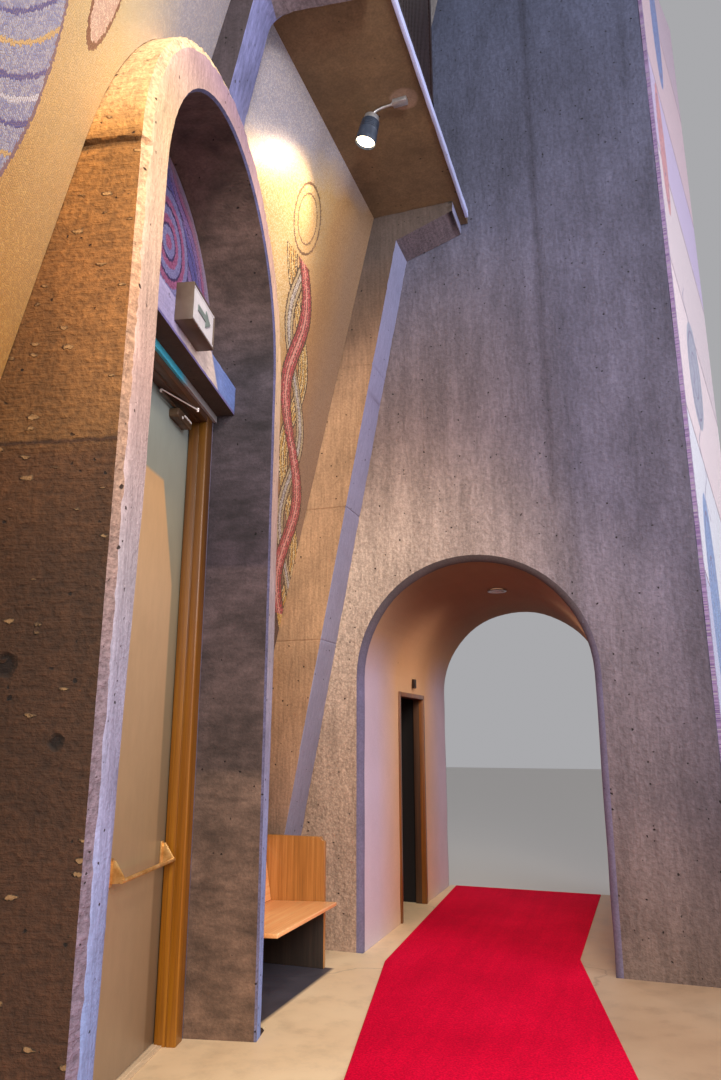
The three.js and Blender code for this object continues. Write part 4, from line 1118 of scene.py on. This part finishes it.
# Sandstone worn by feet: pale, with fine bedding along it.
sill_coat = cast_finish("pale_worn_stone_sill", [(0, "#d8bc98"), (1, "#d8bc98")], (0.02, 0.2, 0.02),
    0.0005, 0.006, 0.0008, 0.1, cloud=0.3, uneven=0.12, marked=0.1, speckled=0.08)
bm = copy_of(("door_threshold",))
bmesh.ops.transform(bm, matrix=DOORWAY.inverted(), verts=bm.verts)
cut(bm, (1, 0, 0), [-1.694, -1.690])
step = [v for v in bm.verts if v.co.x > -1.6925 and v.co.z > 0.006]
bmesh.ops.translate(bm, vec=(0, 0, -0.003), verts=step)
soften(bm, 0.0012, 2, 0.8)
bmesh.ops.transform(bm, matrix=DOORWAY, verts=bm.verts)
make("threshold_sill", bm, [sill_coat], ("door_threshold",))

# Door leaves
# Two tall steel-faced leaves in sprayed satin paint, grey-green with painted shade where
# the beam and the jambs shade it and warm with a painted patch of lamplight. Each swings
# out on a pivot shoe, and carries a panic bar and a closer.

# The painted patch of lamplight ends at a side, at a height and at a slanting corner.
LAMPLIT_HALF, LAMPLIT_HIGH, LAMPLIT_SLANT, LAMPLIT_CORNER = 0.715, 3.09, 0.38, 1.665
# Sprayed satin paint: smooth, with a faint orange peel.
leaf_paint = new_finish("sprayed_satin_paint_on_steel", 0.42)
along = from_doorway(ACROSS)
along = add("Math ABSOLUTE", along)
over = add("Math SUBTRACT", add("SeparateXYZ", place).node.outputs[2], FLOOR)
past_side = add("Math SUBTRACT", along, LAMPLIT_HALF)
past_top = add("Math SUBTRACT", over, LAMPLIT_HIGH)
past_corner = add("Math MULTIPLY_ADD", over, LAMPLIT_SLANT, add("Math SUBTRACT", along, LAMPLIT_CORNER))
past = add("Math MAXIMUM", add("Math MAXIMUM", past_side, past_top), past_corner)
# Painted light: the lamplit patch is warm, the rest lies in painted shade.
painted_lamplight = add("MapRange", past, -0.012, 0.012, 1.0, 0.0)
lamplit_tone = height_tone([(0, "#988068"), (1.2, "#a48c6a"), (1.8, "#b09472"), (2.4, "#bc9c78"), (3.1, "#c49c70")])
shaded_tone = height_tone([(0, "#806850"), (1.2, "#84745a"), (2.4, "#8a8068"), (2.9, "#8a8878"),
    (3.6, "#88908c")])
base = add("Mix", painted_lamplight, shaded_tone, lamplit_tone)
base = vary(base, blotches(0.5, 4, 0.55), 0.05)
base = vary(base, blotches(0.03, 6, 0.7, (1, 1, 3)), 0.04)
lay(base)
relief(blotches(0.0025, 2), 0.00015)

for side, name in ((1, "far"), (-1, "near")):
    bm = copy_of((name + "_leaf",))
    long_edges = [e for e in bm.edges if len(e.link_faces) == 2 and e.calc_face_angle() > 1.2
        and e.calc_length() > 0.6]
    round_over(bm, long_edges, 0.0025)
    make(name + "_leaf_faced", bm, [leaf_paint], (name + "_leaf",), name + "_door")

# Lacquered brass: satin gold, duller where hands hold it.
brass = patchy_finish("satin_lacquered_brass", 0.34, 0.55, (0.03, 5, 0.65),
    [(0.3, "#b5813f"), (0.5, "#d9a968"), (0.7, "#eccb92")], (0.002, 2), 0.0002)

LEAF_FACE = -1.716
BAR_HIGH = 0.948
TO_FRONT = Matrix.Rotation(math.radians(90), 4, "Y")
for side, name in ((1, "far"), (-1, "near")):
    bm = bmesh.new()
    reach = LEAF_FACE + 0.0703
    tube(bm, [Vector((reach, side * at, BAR_HIGH)) for at in (0.1225, 0.3, 0.8145)], 0.0108, 20)
    for at in (side * 0.142, side * 0.795):
        bar(bm, (LEAF_FACE + HAIR, at - 0.018, BAR_HIGH - 0.03),
            (LEAF_FACE + 0.008, at + 0.018, BAR_HIGH + 0.1))
        arm = [(LEAF_FACE + 0.007, BAR_HIGH - 0.015), (LEAF_FACE + 0.0705, BAR_HIGH - 0.0105),
            (LEAF_FACE + 0.0805, BAR_HIGH), (LEAF_FACE + 0.0805, BAR_HIGH + 0.011),
            (LEAF_FACE + 0.0262, BAR_HIGH + 0.0915), (LEAF_FACE + 0.007, BAR_HIGH + 0.0915)]
        drawn_out(bm, [(x, at - 0.005, z) for x, z in arm], (0, 0.01, 0))
        for drop in (-0.02, 0.085):
            spot = Vector((LEAF_FACE + 0.008, at + 0.0115, BAR_HIGH + drop))
            bmesh.ops.create_cone(bm, cap_ends=True, segments=12, radius1=0.005, radius2=0.0035,
                depth=0.003, matrix=Matrix.Translation(spot) @ TO_FRONT)
    bmesh.ops.recalc_face_normals(bm, faces=bm.faces)
    soften(bm, 0.0016, 2)
    bmesh.ops.transform(bm, matrix=DOORWAY, verts=bm.verts)
    make(name + "_panic_bar_fine", bm, [brass], (name + "_panic_bar",), name + "_door")

# A die casting sprayed bronze: a fine speckle and a soft shine.
closer_case = patchy_finish("bronze_sprayed_die_casting", 0.38, 0.3, (0.05, 5, 0.7),
    [(0.3, "#3c2a1f"), (0.5, "#54402f"), (0.7, "#6b5440")], (0.003, 3), 0.0003)
# Zinc-plated steel: pale, with a narrow bright highlight.
zinc = patchy_finish("zinc_plated_steel_rod", 0.3, 0.3, (0.02,), [(0.3, "#e4d8d4"), (0.7, "#fcf4f0")],
    (0.002, 3), 0.0001)
CLOSER_LOW = 3.5
CLOSER_TOP = 3.56
for side, name in ((1, "far"), (-1, "near")):
    bm = bmesh.new()
    bar(bm, (LEAF_FACE + HAIR, side * 0.5005, CLOSER_LOW), (LEAF_FACE + 0.0595, side * 0.7395, CLOSER_TOP))
    corners = [e for e in bm.edges if abs((e.verts[0].co - e.verts[1].co).x) > 0.03]
    round_over(bm, corners, 0.02, 5)
    soften(bm, 0.0025, 2, 1.2)
    turned_shape(bm, [(0, 0.0), (0.0128, 0.0), (0.0128, 0.014), (0.009, 0.0168), (0, 0.0168)],
        Matrix.Translation((LEAF_FACE + 0.03, side * 0.56, CLOSER_TOP)), 20)
    bar(bm, (LEAF_FACE + 0.0212, side * 0.2905, CLOSER_TOP + 0.0052),
        (LEAF_FACE + 0.0388, side * 0.56, CLOSER_TOP + 0.0108))
    dark = set(bm.faces)
    turned_shape(bm, [(0, 0.0), (0.011, 0.0), (0.0095, 0.0024), (0, 0.0024)],
        Matrix.Translation((LEAF_FACE + 0.0583, side * 0.58, CLOSER_LOW + 0.022)) @ TO_FRONT, 16)
    bar(bm, (LEAF_FACE + 0.0242, side * 0.2903, CLOSER_TOP + 0.005),
        (LEAF_FACE + 0.0358, side * 0.3017, CLOSER_TOP + 0.0228))
    bar(bm, (LEAF_FACE + 0.059, side * 0.61, CLOSER_TOP - 0.02),
        (LEAF_FACE + 0.062, side * 0.73, CLOSER_TOP - 0.008))
    elbow = Vector((LEAF_FACE + 0.03, side * 0.296, CLOSER_TOP + 0.0225))
    shoe = Vector((LEAF_FACE + 0.127, side * 0.652, CLOSER_TOP + 0.04))
    tube(bm, [elbow, shoe], 0.0045, 10)
    tube(bm, [shoe - Vector((0, 0, 0.012)), shoe + Vector((0, 0, 0.012))], 0.007, 10)
    tube(bm, [shoe + Vector((0, 0, 0.01)), shoe + Vector((-0.03, side * -0.012, 0.01))], 0.004, 10)
    for face in bm.faces:
        face.material_index = 0 if face in dark else 1
    bmesh.ops.transform(bm, matrix=DOORWAY, verts=bm.verts)
    make(name + "_closer_fine", bm, [closer_case, zinc], (name + "_closer",), name + "_door")

# Sign over the door, and the mosaic above it
# A sheet steel box in grey-brown paint, screwed to the beam, with a face of pale slats
# that carries a plain arrow. Behind it a round-headed panel of glass fills the vault: arcs
# and ripples in plum, rose and lavender.

# Enamel on sheet steel: grey-brown, softly glossy.
sign_paint = patchy_finish("grey_brown_enamel_on_sheet_steel", 0.45, 0.0, (0.08, 5, 0.6),
    [(0.3, "#443630"), (0.5, "#524238"), (0.7, "#5e4e44")], (0.004, 3), 0.0003)
# Acrylic: pale and smooth, uneven where dust lies.
slat_paint = patchy_finish("pale_acrylic_slats", 0.35, 0.0, (0.05, 4, 0.6),
    [(0.35, "#b4b0b8"), (0.65, "#c8c4cc")], (0.003, 2), 0.0002)
# Screen-printed ink: flat grey-green.
arrow_paint = new_finish("dark_green_grey_screen_print", 0.5)
lay(add("ValToRGB", blotches(0.02, 4, 0.6), stops=[(0.35, "#5e6a6c"), (0.65, "#76827f")]))

SIGN_BACK, SIGN_NEAR, SIGN_LOW = -1.4497, -0.157, 3.754
SIGN_FACE, SIGN_FAR, SIGN_TOP = -1.346, 0.198, 3.976
SIGN_RIM = 0.012
bm = bmesh.new()
bar(bm, (SIGN_BACK, SIGN_NEAR, SIGN_LOW), (SIGN_FACE - 0.004, SIGN_FAR, SIGN_TOP))
bm.normal_update()
front = max(bm.faces, key=lambda f: f.calc_center_median().x)
bmesh.ops.inset_region(bm, faces=[front], thickness=SIGN_RIM, depth=0.0)
bmesh.ops.inset_region(bm, faces=[front], thickness=0.0005, depth=-SIGN_RIM)
rims = [e for e in bm.edges if e.calc_face_angle(0) > 0.5]
round_over(bm, rims, 0.002)
shell_faces = set(bm.faces)
for at in steps(SIGN_NEAR + SIGN_RIM, SIGN_FAR - SIGN_RIM, 0.0165):
    bar(bm, (SIGN_FACE - 0.017, at - 0.005, SIGN_LOW + 0.014),
        (SIGN_FACE - 0.006, at + 0.005, SIGN_TOP - 0.014))
for at in (SIGN_LOW + 0.02, SIGN_TOP - 0.02):
    bar(bm, (SIGN_FACE - 0.013, SIGN_NEAR + SIGN_RIM, at - 0.005),
        (SIGN_FACE - 0.005, SIGN_FAR - SIGN_RIM, at + 0.005))
bar(bm, (SIGN_FACE - 0.018, SIGN_NEAR + SIGN_RIM, SIGN_LOW + SIGN_RIM),
    (SIGN_FACE - 0.0165, SIGN_FAR - SIGN_RIM, SIGN_TOP - SIGN_RIM))
for face in bm.faces:
    if face not in shell_faces:
        face.material_index = 1
slat_faces = set(bm.faces)
arrow = [(-0.08, 3.848), (0.045, 3.848), (0.045, 3.815), (0.12, 3.865), (0.045, 3.915), (0.045, 3.882),
    (-0.08, 3.882)]
drawn_out(bm, [(SIGN_FACE - 0.006, y, z) for y, z in arrow], (0.005, 0, 0))
bmesh.ops.recalc_face_normals(bm, faces=[f for f in bm.faces if f not in slat_faces])
for face in bm.faces:
    if face not in slat_faces:
        face.material_index = 2
bmesh.ops.transform(bm, matrix=DOORWAY, verts=bm.verts)
make("exit_sign_fine", bm, [sign_paint, slat_paint, arrow_paint], ("exit_sign",))

# Coloured glass, set by hand: deep tones under a wet gloss.
violet = new_finish("violet_glass_mosaic", 0.4)
start = DOORWAY @ Vector((-1.62, 0, 0))
chance, s, t, joints = tesserae(start, ACROSS, (0, 0, 1))
base = pieces_of(chance, "#8868a4 #9878b0 #8064a8 #a084b8 #78609c")
waves = add("Math MULTIPLY", add("Math SINE", add("Math MULTIPLY_ADD", s, 7.0, 0.8)), 0.09)
bow = add("Math ADD", waves, add("Math MULTIPLY", add("Math SINE", add("Math MULTIPLY", t, 5.0)), 0.06))
level = add("Math ADD", add("Math MULTIPLY_ADD", s, 0.9, t), bow)
stripe = add("Math FRACT", add("Math MULTIPLY", level, 2.3))
for low, high, colours in ((0.0, 0.3, "#5c5ca4 #6c68b0 #545498"), (0.5, 0.72, "#a85084 #b86494 #984878")):
    base = add("Mix", inside(stripe, low, high), base, pieces_of(chance, colours))
fine = add("Math FRACT", add("Math MULTIPLY", level, 13.8))
base = add("Mix", inside(fine, 0.0, 0.16), base, "#342858")
across = add("Math SUBTRACT", s, 0.1)
up = add("Math SUBTRACT", t, 4.42)
ring = add("Math SQRT", add("Math ADD", add("Math POWER", across, 2.0), add("Math POWER", up, 2.0)))
turns = add("Math FRACT", add("Math MULTIPLY", ring, 9.0))
disc = inside(ring, 0.0, 0.33)
for low, high, colours in ((0.0, 0.4, "#a85c88 #b86c98 #984c78"), (0.4, 0.86, "#8884bc #7c78b0 #9894c4"),
        (0.86, 1.0, "#342858 #40306a")):
    here = add("Math MULTIPLY", inside(turns, low, high), disc)
    base = add("Mix", here, base, pieces_of(chance, colours))
above = add("Math MAXIMUM", add("Math SUBTRACT", t, VAULT_SPRING), 0.0)
from_middle = add("Math SQRT", add("Math ADD", add("Math POWER", s, 2.0), add("Math POWER", above, 2.0)))
halo = add("MapRange", from_middle, 0.86, 0.97, 0.0, 0.6)
base = add("Mix", halo, base, "#b8b0c0")
set_in_mortar(base, joints, "#4a3a52")
give("tympanum", violet)

# Bench by the wall
# Solid boards in orange-brown varnish: two ends with a hollow cut from each top corner,
# dark below the seat as painted shade, a seat that falls back a little, and a leaning
# back board, housed between the ends.

# Varnished ash: orange-brown, with an open upright grain.
end_wood = wood_finish("orange_varnished_ash_upright", ("#92602d", "#a97036", "#be8448"), 0.05, "z", 0.34)
# The same boards below the seat: dark as painted shade, and duller.
shaded_wood = wood_finish("ash_in_painted_shade_under_the_seat", ("#2c241e", "#382c24", "#44362c"), 0.05, "z",
    0.5)
# Varnished ash along the bench, paler than the ends.
seat_wood = wood_finish("orange_varnished_ash_along", ("#eca264", "#f8b274", "#fec688"), 0.05, "y", 0.3)
PEW_BACK, PEW_FRONT, PEW_HIGH = -2.83, -2.29, 0.89
HOLLOW = 0.03
SEAT_FALL, SEAT_UNDER = 0.044, 0.419
END_THICK = 0.035
BOARD_START, BOARD_LONG = 4.7003, 0.9994
hollow = [(HOLLOW * math.sin(turn), HOLLOW * math.cos(turn))
    for turn in [math.radians(15 * k) for k in range(7)]]
end_outline = [(PEW_BACK, HAIR), (PEW_FRONT, HAIR)]
end_outline += [(PEW_FRONT - back, PEW_HIGH - down) for back, down in hollow]
end_outline += [(PEW_BACK + back, PEW_HIGH - down) for back, down in reversed(hollow)]
for name, low in (("bench_end_near", 4.665), ("bench_end_far", 5.7)):
    bm = bmesh.new()
    drawn_out(bm, [(x, low, z) for x, z in end_outline], (0, END_THICK, 0))
    bmesh.ops.recalc_face_normals(bm, faces=bm.faces)
    soften(bm, 0.004, 3)
    cut(bm, (SEAT_FALL, 0, -1), [SEAT_FALL * PEW_FRONT - SEAT_UNDER])
    for face in bm.faces:
        at = face.calc_center_median()
        if at.z < SEAT_UNDER + SEAT_FALL * (at.x - PEW_FRONT) and face.normal.x < 0.5:
            face.material_index = 1
    bmesh.ops.translate(bm, vec=ORIGIN, verts=bm.verts)
    make(name + "_board", bm, [end_wood, shaded_wood], (name,))

for name, outline in (("bench_seat", [(-2.735, 0.4), (-2.19, 0.425), (-2.19, 0.452), (-2.735, 0.43)]),
        ("bench_back", [(-2.74, 0.432), (-2.715, 0.432), (-2.79, 0.868), (-2.815, 0.868)])):
    bm = bmesh.new()
    drawn_out(bm, [(x, BOARD_START, z) for x, z in outline], (0, BOARD_LONG, 0))
    bmesh.ops.recalc_face_normals(bm, faces=bm.faces)
    soften(bm, 0.006, 4)
    bmesh.ops.translate(bm, vec=ORIGIN, verts=bm.verts)
    make(name + "_board", bm, [seat_wood], (name,))

# Side doorway and small fittings in the passage
# A lining of golden boards, its inner part in painted shade, fixed in the recess with its
# edge proud of the plaster; a small sensor over it; and a recessed lamp in the crown of the
# vault with a steel rim.

LINING = (PASSAGE_OUT - LINING_DEEP, PASSAGE_OUT + 0.014)
LINING_BOARD = 0.042
LINING_HIGH = FLOOR + 2.0297
LINING_SHADE_EDGE = PASSAGE_OUT - 0.036
# Varnished softwood: golden-brown, with upright grain.
side_wood = wood_finish("golden_varnished_lining", ("#5c3002", "#723e04", "#864c08"), 0.05, "z", 0.4)
# The lining's inner part, dark as painted shade.
reveal_wood = wood_finish("lining_reveal_in_painted_shade", ("#341c0e", "#442814", "#54341c"), 0.05, "z", 0.5)
lining_boards = {"side_lining_near": (RECESS[0] + HAIR, RECESS[0] + LINING_BOARD, FLOOR + HAIR),
    "side_lining_far": (RECESS[1] - LINING_BOARD, RECESS[1] - HAIR, FLOOR + HAIR),
    "side_lining_head": (RECESS[0] + LINING_BOARD + HAIR, RECESS[1] - LINING_BOARD - HAIR,
    LINING_HIGH - LINING_BOARD)}
for name, (near, far, low) in lining_boards.items():
    bm = bmesh.new()
    bar(bm, (LINING[0], near, low), (LINING[1], far, LINING_HIGH))
    cut(bm, (1, 0, 0), [LINING_SHADE_EDGE])
    soften(bm, 0.004, 3, 1.2)
    # Painted shade on the lining's inner part, within the recess.
    for face in bm.faces:
        if face.calc_center_median().x < LINING_SHADE_EDGE:
            face.material_index = 1
    make(name + "_board", bm, [side_wood, reveal_wood], (name,))

# Moulded ABS: dark brown, with a fine dull texture.
sensor_shell = new_finish("moulded_dark_brown_abs", 0.5)
lay(add("ValToRGB", blotches(0.02, 4, 0.6), stops=[(0.35, "#20120c"), (0.65, "#2e1c12")]))
shader.inputs["Specular IOR Level"].default_value = 0.2
relief(blotches(0.0015, 2), 0.0002)
sensor_low, sensor_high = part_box("side_door_sensor")
bm = bmesh.new()
bar(bm, sensor_low, sensor_high)
soften(bm, 0.006, 3)
middle = (sensor_low + sensor_high) / 2
bmesh.ops.create_uvsphere(bm, u_segments=16, v_segments=8, radius=0.012,
    matrix=Matrix.Translation((sensor_high.x - 0.0125, middle.y, middle.z - 0.012)))
make("side_door_sensor_fine", bm, [sensor_shell], ("side_door_sensor",))

light_low, light_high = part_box("passage_downlight")
crown = Vector(((light_low.x + light_high.x) / 2, (light_low.y + light_high.y) / 2, light_low.z))
bm = bmesh.new()
turned_shape(bm, [(0, 0.017), (0.061, 0.017), (0.069, 0.0078), (0.0715, 0.002), (0.076, 0.0), (0.088, 0.0),
    (0.092, 0.003), (0.092, 0.0079), (0.0, 0.0181)], Matrix.Translation(crown), 48)
for face in bm.faces:
    local = face.calc_center_median() - crown
    if local.z > 0.0165 and math.hypot(local.x, local.y) < 0.06 and face.normal.z < 0:
        face.material_index = 1
# Frosted glass: an even pale glow with a fine sparkle.
diffuser = new_finish("frosted_lamp_lens", 0.4)
frost = add("TexVoronoi", place, Scale=1 / 0.008)
base = add("ValToRGB", frost, stops=[(0.1, "#cfc7ba"), (0.8, "#ece6da")])
lay(base)
lay(base, "Emission Color")
shader.inputs["Emission Strength"].default_value = 1.6
make("passage_downlight_fine", bm, [satin_steel, diffuser], ("passage_downlight",))

# Carpet runner
# Saturated red cut-pile carpet, cut from the roll and laid loose: it follows the bay and
# turns through the passage. The pile is a dense stand of tufts, with faint lines where
# the cleaner has passed and an edge that rounds over to its backing.

# Cut nylon pile: deep red without shine, speckled by its tufts.
pile = new_finish("red_cut_pile_carpet", 0.95)
shade = blotches(0.3, 5, 0.6)
base = add("ValToRGB", shade, stops=[(0.3, "#c80430"), (0.5, "#d60434"), (0.7, "#e0083a")])
tufts = blotches(0.006, 3, 0.7)
base = vary(base, tufts, 0.22)
base = vary(base, blotches(0.05, 3, 0.6, (1, 14, 1)), 0.06)
lay(base)
shader.inputs["Specular IOR Level"].default_value = 0.05
relief(tufts, 0.006)

bm = copy_of(("carpet_runner",))
carpet_area = sum(f.calc_area() for f in bm.faces if f.normal.z > 0.9)
rim = [e for e in bm.edges if all(v.co.z > FLOOR + 0.008 for v in e.verts)]
round_over(bm, rim, 0.005, 3)
cut(bm, (1, 0, 0), steps(-5, 5, 0.06))
cut(bm, (0, 1, 0), steps(-5, 5, 0.06))
for v in bm.verts:
    if v.co.z > FLOOR + 0.0085:
        v.co.z -= 0.0012 * (0.5 + noise.noise(v.co / 0.12))
carpet = make("carpet_pile", bm, [pile], ("carpet_runner",))

# Studio floor, lights and camera
# Plain pale ground round the bay, a cool soft light from the open nave side, a warm one
# from over the near end, the light of the two lamps that burn, and the view that the
# photograph was taken from.

# A matt painted floor.
ground_paint = new_finish("studio_ground", 0.9)
shader.inputs["Base Color"].default_value = linear("#d8d4cf")
bm = bmesh.new()
bmesh.ops.create_grid(bm, x_segments=1, y_segments=1, size=40)
mesh = bpy.data.meshes.new("studio_ground")
bm.to_mesh(mesh)
bm.free()
ground = bpy.data.objects.new("studio_ground", mesh)
mesh.materials.append(ground_paint)
bpy.context.scene.collection.objects.link(ground)

world = bpy.data.worlds.new("studio")
world.use_nodes = True
world.node_tree.nodes["Background"].inputs[0].default_value = linear("#e6e6ea")
world.node_tree.nodes["Background"].inputs[1].default_value = 0.5
bpy.context.scene.world = world


def light(name, kind, at, towards, power, colour, **settings):
    """A light at one point, aimed at another."""
    lamp = bpy.data.lights.new(name, kind)
    lamp.energy = power
    lamp.color = linear(colour)[:3]
    for setting, value in settings.items():
        setattr(lamp, setting, value)
    holder = bpy.data.objects.new(name, lamp)
    holder.location = at
    holder.rotation_euler = (Vector(towards) - Vector(at)).to_track_quat("-Z", "Y").to_euler()
    bpy.context.scene.collection.objects.link(holder)


light("nave_light", "AREA", (7.5, -1.5, 6.5), (-0.5, 0.5, 2.5), 330, "#f4f4ff", shape="DISK", size=5.0)
light("near_light", "AREA", (3.2, -7.8, 5.0), (-0.6, 0.0, 3.2), 720, "#fff8f0", shape="DISK", size=3.5)
light("near_panel_light", "AREA", ORIGIN + Vector((0.25, 0.7, 5.3)), ORIGIN + Vector((-1.75, 2.0, 4.4)),
    95, "#fff0d8", shape="DISK", size=0.5)
light("lamp_beam", "SPOT", tilt @ Vector((0, 0, -0.27)), ORIGIN + Vector((-2.15, 4.3, 5.0)), 90, "#ffdcae",
    spot_size=math.radians(100), spot_blend=1.0, shadow_soft_size=0.05)
under_crown = crown - Vector((0, 0, 0.03))
light("passage_lamp", "SPOT", under_crown, under_crown - Vector((0, 0, 1)), 50, "#ffecd8",
    spot_size=math.radians(165), spot_blend=0.6, shadow_soft_size=0.07)

EYE_HIGH, LOOK_UP, LOOK_LEFT = 1.63, 14.1, 19.4
camera = bpy.data.cameras.new("camera")
camera.lens = 25.83
camera.sensor_width = 36
camera.sensor_fit = "AUTO"
holder = bpy.data.objects.new("camera", camera)
holder.location = ORIGIN + Vector((0, 0, EYE_HIGH))
holder.rotation_euler = (math.radians(90 + LOOK_UP), 0, math.radians(LOOK_LEFT))
bpy.context.scene.collection.objects.link(holder)
bpy.context.scene.camera = holder
bpy.context.scene.view_settings.view_transform = "Standard"
